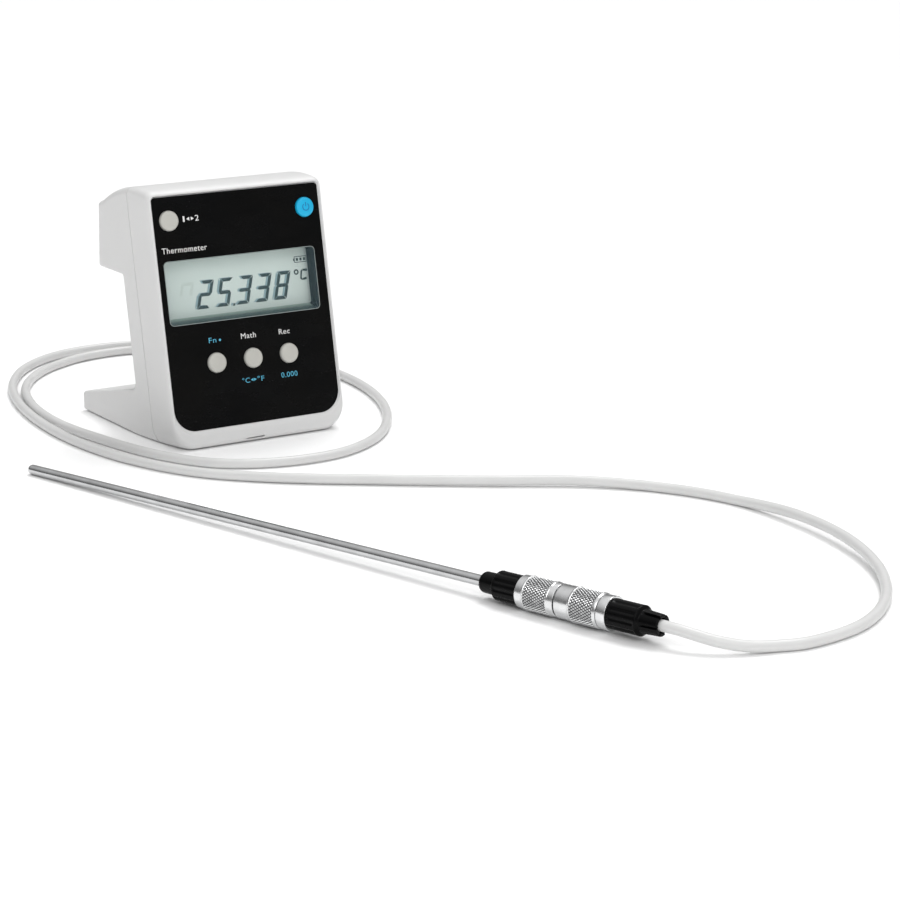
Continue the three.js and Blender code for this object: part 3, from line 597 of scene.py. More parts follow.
line_pts = smooth_route(ROUTE)
cu = bpy.data.curves.new("lead_jacket", "CURVE")
cu.dimensions = "3D"
sp = cu.splines.new("POLY")
sp.points.add(len(line_pts) - 1)
for q, w in zip(sp.points, line_pts):
    q.co = (*w, 1.0)
cu.bevel_depth, cu.bevel_resolution, cu.use_fill_caps = 0.003, 7, True
sp.use_smooth = True
lead = bpy.data.objects.new("lead_jacket", cu)
scene.collection.objects.link(lead)
cu.materials.append(CABLE)
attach(lead, "case")
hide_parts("lead")

# ------------------------------------------------------------------ front frame: one ring-shaped shell
LOWK = S / C
H = 61.0


DOME_R = 105.0
T0, T1 = math.radians(5), math.radians(59)


def rear(z):
    return 101.5 - (z - 101.0) * (2.0 / 42.3)


TOP_EDGE = [pv(rear(140.3) - 3.0 + 3.0 * math.cos(a), 140.2 + 3.0 * math.sin(a)) for a in np.linspace(T0, T1, 8)]
DF, DB = (-1.2, 159.6), TOP_EDGE[-1]
_l = math.dist(DF, DB)
_k = math.sqrt(DOME_R ** 2 - (_l / 2) ** 2) / _l
DC = ((DF[0] + DB[0]) / 2 + (DB[1] - DF[1]) * _k, (DF[1] + DB[1]) / 2 - (DB[0] - DF[0]) * _k)


def dome(d):
    """height of the domed top at depth d."""
    if d <= DF[0] or d >= DB[0]:
        return 159.6
    return max(159.6, DC[1] + math.sqrt(DOME_R ** 2 - (d - DC[0]) ** 2))


def fring(d, inset, v0, rb, rt=None, low=0.0, top=None):
    rt = max(0.6, 5.0 - inset) if rt is None else rt
    t = dome(d) - (inset if top is None else top)
    return [lean(x, d, v) for x, v in outline(H - inset, v0, t, rt, rb, low=d * LOWK + low)]


BACK = 27.85
rings = [
    fring(BACK, 0.32, 0.32, 15.7, low=0.32), fring(BACK - 0.22, 0.08, 0.08, 15.9, low=0.08), fring(BACK - 0.6, 0.0, 0.0, 16.0),
    *[fring(q, 0, 0, 16) for q in (24.5, 21.0, 17.5, 14.0, 11.0, 8.0, 5.6)],
] + [
    fring(3.8 - 5.0 * math.sin(a), 1.75 * (1 - math.cos(a)), 3.4 * (1 - math.cos(a)), 16.0 - 1.0 * (1 - math.cos(a)), low=1.6 * (1 - math.cos(a)))
    for a in [math.radians(q) for q in (0, 12, 24, 36, 48, 58, 68, 77, 84, 90)]
] + [
    fring(-1.2, 1.85, 7.3, 17.0, rt=3.6), fring(-1.12, 2.0, 8.0, 16.6, rt=3.4), fring(-0.85, 2.2, 8.8, 16.0, rt=3.2), fring(-0.45, 2.42, 9.9, 15.2, rt=2.9),
    fring(-0.08, 2.62, 10.9, 14.4, rt=2.75), fring(0.06, 2.78, 11.2, 14.15, rt=2.65), fring(1.08, 2.80, 11.22, 14.1, rt=2.6),
    fring(1.08, 5.5, 14.0, 12.0), fring(3.6, 5.5, 14.0, 12.0), fring(3.9, 2.5, 4.0, 13.5), fring(12.0, 2.5, 2.5, 13.5, low=2.5), fring(20.0, 2.5, 2.5, 13.5, low=2.5), fring(BACK, 2.5, 2.5, 13.5, low=2.5),
]
v, f = loft(rings, closed=True)
ff = make("front_frame_moulding", v, f, WHITE, slot="case_white", replaces=["front_frame"], angle=42)
slot_poly = [(-12.2, 1.75), (-9.5, 2.6), (1.0, 2.75), (2.1, 2.3), (0.6, 1.75)]
st = tool(*loft([[lean(x, d, w) for x, w in slot_poly] for d in (-2.5, 1.7)]))
latch = tool(*loft([[lean(x, d, w) for d, w in ((27.2, 107.7), (28.4, 107.7), (28.4, 108.9), (27.2, 108.9))] for x in (-61.6, -60.2)]))
cut(ff, st, latch)
ff.data.set_sharp_from_angle(angle=math.radians(42))

# ------------------------------------------------------------------ rear shell


def fillet(poly, radii, n=7):
    out, m = [], len(poly)
    for i in range(m):
        p, a, b, r = (np.array(poly[i], float), np.array(poly[i - 1], float), np.array(poly[(i + 1) % m], float), radii[i])
        if r <= 0:
            out.append(tuple(p))
            continue
        u, w = (a - p) / np.linalg.norm(a - p), (b - p) / np.linalg.norm(b - p)
        ang = math.acos(max(-1, min(1, float(u @ w))))
        k = r / math.tan(ang / 2)
        s, e = p + u * k, p + w * k
        c = p + (u + w) / np.linalg.norm(u + w) * (r / math.sin(ang / 2))
        a0, a1 = math.atan2(*(s - c)[::-1]), math.atan2(*(e - c)[::-1])
        da = (a1 - a0 + math.pi) % (2 * math.pi) - math.pi
        out += [(c[0] + r * math.cos(a0 + da * j / n), c[1] + r * math.sin(a0 + da * j / n)) for j in range(n + 1)]
    return out


def shell(profile, hx, rr, rt, rb, vt, v0, stations):
    """extrudes a (depth, height) profile across x, rounding its sides by rr and keeping inside the front outline.
    Points with the seam's depth don't move back."""
    m = len(profile)
    P = np.array(profile, float)
    seam = P[:, 0].min()
    nrm = []
    for i in range(m):
        e1, e2 = P[i] - P[i - 1], P[(i + 1) % m] - P[i]
        n1 = np.array([e1[1], -e1[0]]) / max(np.linalg.norm(e1), 1e-9)
        n2 = np.array([e2[1], -e2[0]]) / max(np.linalg.norm(e2), 1e-9)
        s1, s2 = abs(e1[0]) < 1e-6 and P[i][0] < seam + 1e-6, abs(e2[0]) < 1e-6 and P[i][0] < seam + 1e-6
        if s1:
            q = n2 * 1.0
            q = np.array([0.0, q[1] / max(abs(q[1]), 1e-9)])
        elif s2:
            q = np.array([0.0, n1[1] / max(abs(n1[1]), 1e-9)])
        else:
            q = (n1 + n2) / max(1e-9, 1 + float(n1 @ n2))
        nrm.append(q)
    nrm = np.array(nrm)
    area = 0.5 * sum(P[i - 1][0] * P[i][1] - P[i][0] * P[i - 1][1] for i in range(m))
    if area < 0:
        nrm = -nrm
    rings = []
    for x in stations:
        ax = abs(x)
        k = max(0.0, ax - (hx - rr))
        dl = rr - math.sqrt(max(0.0, rr * rr - k * k))
        kt = max(0.0, ax - (hx - rt))
        drop = rt - math.sqrt(max(0.0, rt * rt - kt * kt))
        kb = max(0.0, ax - (hx - rb))
        bot = v0 + rb - math.sqrt(max(0.0, rb * rb - kb * kb))
        ring = []
        for (d, w), q in zip(P, nrm):
            d2, w2 = d - q[0] * dl, w - q[1] * dl
            ring.append(lean(x, d2, min(max(w2, bot), (dome(d2) if vt > 159 else vt) - drop)))
        rings.append(ring)
    verts, faces = loft(rings, caps=False)
    last = (len(rings) - 1) * m
    for base, ring_at in ((0, 0), (last, last)):
        flat = [(verts[base + j][1], verts[base + j][2]) for j in range(m)]
        for t in tessellate_polygon([[Vector((a * 1000, b * 1000, 0)) for a, b in flat]]):
            faces.append(tuple(base + j for j in (t if base else reversed(t))))
    return verts, faces


FRONT = 28.15
SB = 46.5
foot_corner = (SB, 38.96)
prof = [(FRONT, FRONT * LOWK)]
b_end = 131.2
prof += [pv(b, 0.0) for b in np.linspace(32.0, 126.0, 26)]
key = [pv(132.75, 0.0), pv(132.75, 12.1), foot_corner, (SB, (100.6 + SB * S) / C), pv(101.55, 100.6)]
rad = [1.65, 3.0, 5.0, 2.2, 2.4]
tail = fillet([prof[-1]] + key + [TOP_EDGE[0]], [0] + rad + [0], 8)
arch = [q for q in np.linspace(DB[0], FRONT, 16)[1:]]
prof = prof[:-1] + tail[:-1] + TOP_EDGE + [(q, dome(q)) for q in arch]
half_st = [0.0, 30.0, 45.0, 47.0, 49.0, 51.0, 52.8, 54.4, 55.6, 56.4, 57.2, 57.9, 58.5, 59.0, 59.5, 59.7, 59.95, 60.2, 60.45, 60.65, 60.82, 60.93, 60.985, 61.0]
stations = [-x for x in reversed(half_st[1:])] + half_st
v, f = shell(prof, H, 1.5, 5.0, 16.0, 159.6, -0.3, stations)
rs = make("rear_shell_moulding", v, f, WHITE, slot="case_white", replaces=["rear_shell"], angle=32)


def face(z):
    return 101.5 - (z - 101.0) * (2.0 / 42.3)


inner = [
    (20.0, 20.0 * LOWK + 2.55), pv(129.9, 2.5), pv(130.0, 9.0), pv(128.6, 11.0), pv(60.0, 25.3), pv(55.0, 29.5), (44.0, 43.0),
    (44.0, (103.2 + 44.0 * S) / C), pv(face(103.3) - 3.6, 103.3), pv(face(138.6) - 3.6, 138.6), (pv(93.5, 139.0)[0], 156.4), (45.0, 160.5), (20.0, 160.5),
]
ist = [-58.5, -57.5, -55.5, -52.0, -48.0, 48.0, 52.0, 55.5, 57.5, 58.5]
hv, hf = shell(inner, 58.5, 0.8, 3.0, 13.5, 158.9, 2.5, ist)
hollow_tool = tool(hv, hf)
zb, zt = 106.65, 138.35
door_tool = prism_tool([pv(face(zb) + 3, zb), pv(face(zt) + 3, zt), pv(face(zt) - 6, zt), pv(face(zb) - 6, zb)], -52.95, 52.95)
tools = [hollow_tool, door_tool]
for x in (-25.0, 25.0):
    tools.append(rod_tool(SB - 6, SB + 3, 7.3, x, 64.0))
for x in (-52.5, 52.5):
    for w in (46.0, 69.0):
        tools.append(rod_tool(SB - 3.4, SB + 3, 3.3, x, w, 24))
cut(rs, *tools)
rs.data.set_sharp_from_angle(angle=math.radians(32))

# ------------------------------------------------------------------ overlay, window, display
WX0, WX1, WV0, WV1 = -54.4, 51.8, 77.1, 117.2


def rrect(x0, x1, v0, v1, rt, rb, n=10):
    p = [(x0 + rb - rb * math.cos(a), v0 + rb - rb * math.sin(a)) for a in np.linspace(0, math.pi / 2, n)]
    p += [(x1 - rb + rb * math.sin(a), v0 + rb - rb * math.cos(a)) for a in np.linspace(0, math.pi / 2, n)]
    p += [(x1 - rt + rt * math.cos(a), v1 - rt + rt * math.sin(a)) for a in np.linspace(0, math.pi / 2, n)]
    p += [(x0 + rt - rt * math.sin(a), v1 - rt + rt * math.cos(a)) for a in np.linspace(0, math.pi / 2, n)]
    return p


KEYS = {"channel": (-47.6, 141.9), "power": (47.6, 141.9), "function": (-25.5, 51.7), "math": (0.0, 51.7), "record": (25.5, 51.7)}
holes = [list(reversed(rrect(WX0, WX1, WV0, WV1, 3.0, 3.0)))] + [list(reversed(circle(x, w, 6.6))) for x, w in KEYS.values()]
plate("overlay_film", rrect(-58.1, 58.1, 11.45, 156.6, 2.5, 14.0, 24), holes, 0.0, 0.8, OVER, slot="overlay_black", replaces=["front_overlay"])
plate("window_pane", rrect(WX0 + 0.15, WX1 - 0.15, WV0 + 0.15, WV1 - 0.15, 2.85, 2.85), [], 0.08, 0.6, WINDOW, slot="window_clear", replaces=["lcd_window"])
# painted highlight: a light line along the window's edge in the film
edge_o, edge_i = rrect(WX0 + 0.14, WX1 - 0.14, WV0 + 0.14, WV1 - 0.14, 2.86, 2.86), rrect(WX0 + 0.42, WX1 - 0.42, WV0 + 0.42, WV1 - 0.42, 2.6, 2.6)
WINDOW_EDGE_HIGHLIGHT = ink("window_edge_painted_highlight", (0.42, 0.47, 0.46), 0.35)
plate("window_edge_line", edge_o, [list(reversed(edge_i))], 0.02, 0.07, WINDOW_EDGE_HIGHLIGHT, slot="window_clear")

# the tunnel round the display: walls slope in towards the glass
fr = rrect(WX0 - 0.2, WX1 + 0.2, WV0 - 0.2, WV1 + 0.2, 3.0, 3.0)
gl = rrect(-53.4, 50.6, 81.2, 116.4, 1.2, 1.2)
mid = [(a[0] * 0.55 + b[0] * 0.45, a[1] * 0.42 + b[1] * 0.58) for a, b in zip(rrect(WX0 + 0.3, WX1 - 0.3, WV0 + 0.3, WV1 - 0.3, 2.7, 2.7), gl)]
outr = rrect(WX0 - 3.3, WX1 + 3.3, WV0 - 3.3, WV1 + 3.3, 1.0, 1.0)
rings = [
    [lean(x, 1.12, w) for x, w in fr], [lean(x, 1.12, w) for x, w in rrect(WX0 + 0.3, WX1 - 0.3, WV0 + 0.3, WV1 - 0.3, 2.7, 2.7)],
    [lean(x, 5.2, w) for x, w in mid], [lean(x, 9.3, w) for x, w in gl],
    [lean(x, 9.3, w) for x, w in outr], [lean(x, 4.0, w) for x, w in outr], [lean(x, 4.0, w) for x, w in fr],
]
v, f = loft(rings, closed=True)
make("display_bezel", v, f, BEZEL, slot="bezel_dark", replaces=["lcd_bezel"], angle=30)
plate("display_glass_plate", rrect(-57.3, 54.7, 74.6, 119.7, 0.5, 0.5, 3), [], 9.6, 12.3, LCD, slot="display_glass", replaces=["lcd_glass"])

# ------------------------------------------------------------------ display segments
SL = math.tan(math.radians(16.0))
DV0, DV1 = 85.4, 102.9
DW = 9.0
TH = 2.1


def seg_polys(w=DW, h=DV1 - DV0, t=TH, g=0.32):
    hh, b = h / 2, t * 0.5
    def hor(y):
        return [(g + b * 0.2, y), (g + b * 1.1, y + b), (w - g - b * 1.1, y + b), (w - g - b * 0.2, y), (w - g - b * 1.1, y - b), (g + b * 1.1, y - b)]
    top = [(g, h), (w - g, h), (w - g - t * 0.9, h - t), (g + t * 0.9, h - t)]
    bottom = [(g, 0), (g + t * 0.9, t), (w - g - t * 0.9, t), (w - g, 0)]
    ul = [(0, h - g), (t, h - t - g * 0.6), (t, hh + b + g * 0.4), (t * 0.5, hh + g * 0.6), (0, hh + b * 0.6)]
    ll = [(0, g), (0, hh - b * 0.6), (t * 0.5, hh - g * 0.6), (t, hh - b - g * 0.4), (t, t + g * 0.6)]
    ur, lr = [(w - x, y) for x, y in reversed(ul)], [(w - x, y) for x, y in reversed(ll)]
    return {"a": top, "b": ur, "c": lr, "d": bottom, "e": ll, "f": ul, "g": hor(hh)}


SEGS7 = seg_polys()
DIG = {"2": "abged", "5": "afgcd", "3": "abgcd", "8": "abcdefg"}


def flat_group(name, polys, d0, d1, mat, slot, body="case", dx=0.0, dv=0.0):
    """many small flat plates in one piece."""
    verts, faces = [], []
    for poly in polys:
        n, k = len(poly), len(verts)
        verts += [lean(x + dx, d0, w + dv) for x, w in poly] + [lean(x + dx, d1, w + dv) for x, w in poly]
        faces.append(tuple(range(k, k + n)))
        faces.append(tuple(reversed(range(k + n, k + 2 * n))))
        for j in range(n):
            a, b = k + j, k + (j + 1) % n
            faces.append((a, b, b + n, a + n))
    return make(name, verts, faces, mat, body=body, slot=slot)


def digit(chars, cx):
    out = []
    for s in chars:
        out.append([(cx - DW / 2 + x + (y - (DV1 - DV0) / 2) * SL, DV0 + y) for x, y in SEGS7[s]])
    return out


polys = []
for ch, cx in (("2", -23.45), ("5", -9.8), ("3", 4.2), ("3", 17.6), ("8", 31.2)):
    polys += digit(DIG[ch], cx)
polys.append([(-4.8 - 0.3, 85.0), (-4.8 + 1.1, 85.0), (-4.8 + 1.5, 86.6), (-4.8 + 0.1, 86.6)])
lit = list(polys)
# degree sign, letter C
dc = (42.1, 101.4)
for j in range(12):
    a0, a1 = 2 * math.pi * j / 12, 2 * math.pi * (j + 1) / 12
    polys.append([(dc[0] + r * math.cos(a), dc[1] + r * math.sin(a)) for r, a in ((0.85, a0), (1.8, a0), (1.8, a1), (0.85, a1))])
t = 1.15


def sl(x, y):
    return (44.3 + x + y * SL * 0.6, 96.0 + y)


polys += [[sl(1.3, 0), sl(4.4, 0), sl(4.9, 0.6), sl(4.5, 0.6 + t), sl(1.7, t)], [sl(0, 1.2), sl(1.1, 0.1), sl(1.55, t + 0.1), sl(t, 1.7), sl(t, 5.3), sl(1.55, 6.9 - t), sl(1.1, 6.9), sl(0, 5.8)],
          [sl(1.3, 7.0), sl(1.7, 7.0 - t), sl(4.5, 6.4 - t), sl(4.9, 6.4), sl(4.4, 7.0)]]
# battery sign: frame, pole, three bars
bx0, bx1, bv0, bv1, bt = 41.6, 50.4, 107.3, 111.3, 0.42
polys += [[(bx0, bv0), (bx1, bv0), (bx1, bv0 + bt), (bx0, bv0 + bt)], [(bx0, bv1 - bt), (bx1, bv1 - bt), (bx1, bv1), (bx0, bv1)],
          [(bx0, bv0 + bt), (bx0 + bt, bv0 + bt), (bx0 + bt, bv1 - bt), (bx0, bv1 - bt)], [(bx1 - bt, bv0 + bt), (bx1, bv0 + bt), (bx1, bv1 - bt), (bx1 - bt, bv1 - bt)],
          [(bx0 - 0.8, bv0 + 1.2), (bx0 - 0.1, bv0 + 1.2), (bx0 - 0.1, bv1 - 1.2), (bx0 - 0.8, bv1 - 1.2)]]
for k in range(3):
    x = bx0 + 1.3 + k * 2.55
    polys.append([(x, bv0 + 1.1), (x + 1.5, bv0 + 1.1), (x + 1.5, bv1 - 1.1), (x, bv1 - 1.1)])
flat_group("display_segments", polys, 9.50, 9.56, SEG, "display_glass")
flat_group("display_segment_shadows", lit, 9.565, 9.59, SEGS, "display_glass", dx=-1.45, dv=0.3)
flat_group("display_ghost_segments", digit("afb", -37.1), 9.55, 9.588, GHOST, "display_glass")

# ------------------------------------------------------------------ keys
for name, (x, w) in KEYS.items():
    m = BLUEB if name == "power" else GREYB
    cap = [(-2.32, 0.0), (-2.31, 1.5), (-2.26, 3.2), (-2.14, 4.5), (-1.90, 5.35), (-1.55, 5.85), (-1.1, 6.12), (-0.4, 6.24), (0.6, 6.3), (3.85, 6.3), (3.9, 7.55), (5.0, 7.55), (5.05, 3.0), (8.0, 3.0), (8.0, 0.0)]
    turned(f"{name}_key_cap", cap, on_depth(x, w), m, segs=72, body=f"{name}_key", slot="button_blue" if name == "power" else "button_grey", replaces=[f"{name}_button"], angle=50)
px, pw = KEYS["power"]
arc = []
for j in range(20):
    a0, a1 = math.radians(125 + j * 14.5), math.radians(125 + (j + 1) * 14.5)
    arc.append([(px + r * math.cos(a), pw + r * math.sin(a)) for r, a in ((1.95, a0), (2.5, a0), (2.5, a1), (1.95, a1))])
arc.append([(px - 0.28, pw + 0.3), (px + 0.28, pw + 0.3), (px + 0.28, pw + 3.0), (px - 0.28, pw + 3.0)])
flat_group("power_symbol", arc, -2.335, -2.2, SYMB, "button_blue", body="power_key")

# ------------------------------------------------------------------ printed labels


def label(name, text, x0, x1, v0, v1, mat, bold=0.0):
    c = bpy.data.curves.new(name, "FONT")
    c.body, c.size, c.fill_mode, c.offset, c.space_character = text, 1.0, "FRONT", bold, 1.1
    o = bpy.data.objects.new(name, c)
    scene.collection.objects.link(o)
    bpy.context.view_layer.update()
    me = bpy.data.meshes.new_from_object(o.evaluated_get(bpy.context.evaluated_depsgraph_get()))
    bpy.data.objects.remove(o)
    co = np.array([p.co for p in me.vertices])
    lo, hi = co.min(0), co.max(0)
    sx, sy = (x1 - x0) / (hi[0] - lo[0]), (v1 - v0) / (hi[1] - lo[1])
    verts = [lean(x0 + (p[0] - lo[0]) * sx, -0.035, v0 + (p[1] - lo[1]) * sy) for p in co]
    faces = [tuple(p.vertices) for p in me.polygons]
    n = len(verts)
    back = [lean(x0 + (p[0] - lo[0]) * sx, -0.004, v0 + (p[1] - lo[1]) * sy) for p in co]
    count = {}
    for fc in faces:
        for j in range(len(fc)):
            e = (fc[j], fc[(j + 1) % len(fc)])
            count[tuple(sorted(e))] = count.get(tuple(sorted(e)), []) + [e]
    sides = [(e[0][1], e[0][0], e[0][0] + n, e[0][1] + n) for e in count.values() if len(e) == 1]
    bpy.data.meshes.remove(me)
    return make(name, verts + back, faces + [tuple(i + n for i in reversed(fc)) for fc in faces] + sides, mat, slot="overlay_black")


BOLD = 0.0
label("label_sensor_1", "1", -37.9, -36.75, 140.35, 143.85, INKW, BOLD)
label("label_sensor_2", "2", -29.6, -27.0, 140.35, 143.85, INKW, BOLD)
flat_group("label_swap_arrows", [[(-35.6, 142.0), (-33.5, 143.1), (-33.5, 140.9)], [(-30.3, 142.0), (-32.4, 140.9), (-32.4, 143.1)]], -0.035, -0.004, INKW, "overlay_black")
label("label_title", "Thermometer", -54.5, -23.6, 121.9, 125.5, INKW, BOLD)
label("label_function", "Fn", -29.4, -24.3, 64.3, 67.5, INKB, BOLD)
flat_group("label_function_dot", [[(-21.7 + 0.75 * math.cos(a), 65.5 + 0.75 * math.sin(a)) for a in np.linspace(0, 2 * math.pi, 21)[:-1]]], -0.035, -0.004, INKB, "overlay_black")
label("label_math", "Math", -6.9, 3.6, 64.3, 67.7, INKW, BOLD)
label("label_record", "Rec", 20.0, 27.8, 64.0, 67.3, INKW, BOLD)
label("label_celsius", "°C", -9.2, -3.9, 36.6, 39.9, INKB, BOLD)
label("label_fahrenheit", "°F", 1.5, 6.3, 36.6, 39.9, INKB, BOLD)
flat_group("label_unit_arrows", [[(-3.3, 38.2), (-1.4, 39.2), (-1.4, 37.2)], [(0.9, 38.2), (-1.0, 37.2), (-1.0, 39.2)]], -0.035, -0.004, INKB, "overlay_black")
label("label_zero", "0.000", 18.5, 30.1, 36.8, 40.0, INKB, BOLD)

# ------------------------------------------------------------------ sockets and the plug on the back
SOCK = [(36.0, 0.0), (36.0, 6.9), (46.8, 6.9), (46.8, 10.0), (48.4, 10.0), (48.4, 7.35), (56.0, 7.35), (56.0, 5.7), (49.6, 5.7), (49.6, 0.0)]


def thread(lo, hi, pitch=1.0, depth=0.28):
    def f(s, t, r):
        if lo < s < hi and 7.0 < r < 7.6:
            return r - depth * (1 - tri(s / pitch + t / (2 * math.pi)))
        return r
    return f


def dense(profile, spans, step):
    """adds rows on the stretches that carry relief."""
    out = []
    for i, p in enumerate(profile):
        out.append(p)
        if i + 1 < len(profile):
            q = profile[i + 1]
            for lo, hi in spans:
                if min(p[0], q[0]) <= lo + 1e-6 and max(p[0], q[0]) >= hi - 1e-6 and abs(p[1] - q[1]) < 0.05 and p[1] > 5.6:
                    n = int((hi - lo) / step)
                    ss = rows(lo, hi, n)
                    if q[0] < p[0]:
                        ss.reverse()
                    out += [(s, p[1]) for s in ss if abs(s - p[0]) > 1e-3 and abs(s - q[0]) > 1e-3]
    return out


for nm, x in (("sensor_socket_1", 25.0), ("sensor_socket_2", -25.0)):
    turned(nm + "_shell", dense(rounded(SOCK, 0.2), [(48.7, 55.7)], 0.14), on_depth(x, 64.0), NICKEL, segs=72, radius=thread(48.8, 55.8), slot="nickel", replaces=[nm], angle=40)
for k in range(4):
    a = math.pi / 4 + k * math.pi / 2
    turned(f"socket_2_pin_{k + 1}", [(49.4, 0.0), (49.4, 0.5), (54.2, 0.5), (54.5, 0.35), (54.6, 0.0)], on_depth(-25.0 + 2.8 * math.cos(a), 64.0 + 2.8 * math.sin(a)), GOLD, segs=16, slot="gold")

x, w = 25.0, 64.0
PLUG = [(50.0, 0.0), (50.0, 5.3), (56.6, 5.3), (56.6, 7.2), (58.4, 7.2), (58.4, 6.0), (71.0, 6.0), (71.0, 8.9), (76.2, 8.9), (76.2, 7.0), (81.7, 7.0), (81.7, 0.0)]
turned("case_plug_shell", rounded(PLUG, 0.25), on_depth(x, w), NICKEL, segs=72, slot="nickel", replaces=["case_plug_body"], angle=40)
RING = [(48.9, 7.65), (48.9, 8.9), (54.0, 8.9), (54.4, 9.3), (69.8, 9.3), (70.6, 8.8), (70.6, 6.35), (58.8, 6.35), (58.8, 7.65)]
kr = turned("case_ring_knurled", dense(rounded(RING, 0.2, closed=True), [(54.7, 69.5)], 0.21), on_depth(x, w), NICKEL, segs=368, closed=True, radius=knurl([(54.7, 69.5)]), body="case_ring", slot="nickel", replaces=["case_coupling_ring"], angle=60)
grooves(kr, off_depth(25.0, 64.0), [(54.9, 69.3)], 8.93, GROOVE_PAINTED_SHADE)
NUTP = [(76.5, 7.3), (76.5, 7.9), (90.4, 7.9), (91.6, 6.3), (96.4, 5.6), (96.4, 3.8), (82.5, 3.8), (82.5, 7.3)]
turned("case_nut_ribbed", dense(rounded(NUTP, 0.3, closed=True), [(77.2, 90.0)], 0.8), on_depth(x, w), NUT, segs=144, closed=True, radius=ribs(77.0, 90.2), slot="nut_black", replaces=["case_clamp_nut"], angle=50)

# ------------------------------------------------------------------ probe and its connectors
dome = [(3.0 - 3.0 * math.cos(k / 8 * math.pi / 2), 3.0 * math.sin(k / 8 * math.pi / 2)) for k in range(9)]
turned("probe_tube_drawn", dome + [(s, 3.0) for s in rows(12, 390.6, 30)] + [(391.0, 2.9), (391.0, 2.5), (388.0, 2.5), (388.0, 0.0)], on_line, STEEL, segs=56, body="probe", slot="stainless", replaces=["probe_tube"], angle=40)
PN = [(359.8, 3.35), (359.8, 4.9), (361.0, 5.6), (369.0, 5.7), (370.6, 7.9), (386.3, 7.9), (386.3, 7.2), (380.3, 7.2), (380.3, 3.35)]
turned("probe_nut_ribbed", dense(rounded(PN, 0.35, closed=True), [(371.2, 385.7)], 0.8), on_line, NUT, segs=144, closed=True, radius=ribs(371.0, 385.9), body="probe", slot="nut_black", replaces=["probe_clamp_nut"], angle=50)
PB = [(380.6, 3.35), (380.6, 6.95), (386.6, 6.95), (386.6, 8.8), (390.9, 8.8), (391.2, 9.1), (407.3, 9.1), (407.6, 8.8), (411.2, 8.8), (411.2, 7.35), (419.4, 7.35), (419.4, 5.7), (404.6, 5.7), (404.6, 3.35)]


def both(*fs):
    def f(s, t, r):
        for g in fs:
            r = g(s, t, r)
        return r
    return f


kr = turned("probe_body_knurled", dense(rounded(PB, 0.2, closed=True), [(391.6, 406.8), (411.6, 419.0)], 0.2375), on_line, NICKEL, segs=368, closed=True, radius=both(knurl([(391.6, 406.8)]), thread(411.6, 419.0)), body="probe", slot="nickel", replaces=["probe_connector_body"], angle=60)
grooves(kr, off_line, [(391.9, 406.5)], 8.73, GROOVE_PAINTED_SHADE)
turned("probe_pin_block", rounded([(407.2, 0.0), (407.2, 5.35), (412.6, 5.35), (412.6, 0.0)], 0.2), on_line, BLACKIN, segs=40, body="probe", slot="inner_black", replaces=["probe_pin_insert"])
for k in range(4):
    a = math.pi / 4 + k * math.pi / 2
    turned(f"probe_pin_{k + 1}", [(412.0, 0.0), (412.0, 0.5), (417.4, 0.5), (417.7, 0.35), (417.8, 0.0)], lambda s, p, q, a=a: on_line(s, p + 2.8 * math.cos(a), q + 2.8 * math.sin(a)), GOLD, segs=16, body="probe", slot="gold")

LP = [(413.2, 0.0), (413.2, 5.3), (420.0, 5.3), (420.0, 7.2), (421.7, 7.2), (421.7, 6.05), (438.7, 6.05), (438.7, 8.9), (444.2, 8.9), (444.2, 6.95), (450.0, 6.95), (450.0, 0.0)]
lead_plug = turned("lead_plug_shell", rounded(LP, 0.3), on_line, NICKEL, segs=80, slot="nickel", replaces=["lead_plug_body"], angle=40)
LR = [(412.2, 7.65), (412.2, 8.95), (420.7, 8.95), (421.2, 9.3), (437.2, 9.3), (438.3, 8.8), (438.3, 6.4), (422.1, 6.4), (422.1, 7.65)]
lead_ring = turned("lead_ring_knurled", dense(rounded(LR, 0.25, closed=True), [(421.7, 436.7)], 0.2375), on_line, NICKEL, segs=368, closed=True, radius=knurl([(421.7, 436.7)]), body="lead_ring", slot="nickel", replaces=["lead_coupling_ring"], angle=60)
grooves(lead_ring, off_line, [(422.0, 436.4)], 8.93, GROOVE_PAINTED_SHADE)
LN = [(444.5, 7.25), (444.5, 7.9), (461.8, 7.9), (463.0, 6.1), (473.6, 5.6), (473.6, 3.8), (450.4, 3.8), (450.4, 7.25)]


def fingers(s, t, r):
    r = ribs(445.2, 461.4)(s, t, r)
    if s > 463.6 and r > 4.5:
        k = min(1.0, (s - 463.6) / 1.0)
        g = tri(t / (2 * math.pi) * 6)
        if g < 0.30:
            r = r - 1.35 * k * min(1.0, (0.30 - g) / 0.06)
    return r


LNp = dense(rounded(LN, 0.35, closed=True), [(445.4, 461.2)], 0.8)
extra = []
for i, p in enumerate(LNp):
    extra.append(p)
    q = LNp[(i + 1) % len(LNp)]
    if 463.0 < p[0] < 465 and q[0] > 472 and p[1] > 5:
        extra += [(p[0] + (q[0] - p[0]) * j / 10, p[1] + (q[1] - p[1]) * j / 10) for j in range(1, 10)]
lead_nut = turned("lead_nut_fingered", extra, on_line, NUT, segs=216, closed=True, radius=fingers, slot="nut_black", replaces=["lead_clamp_nut"], angle=50)

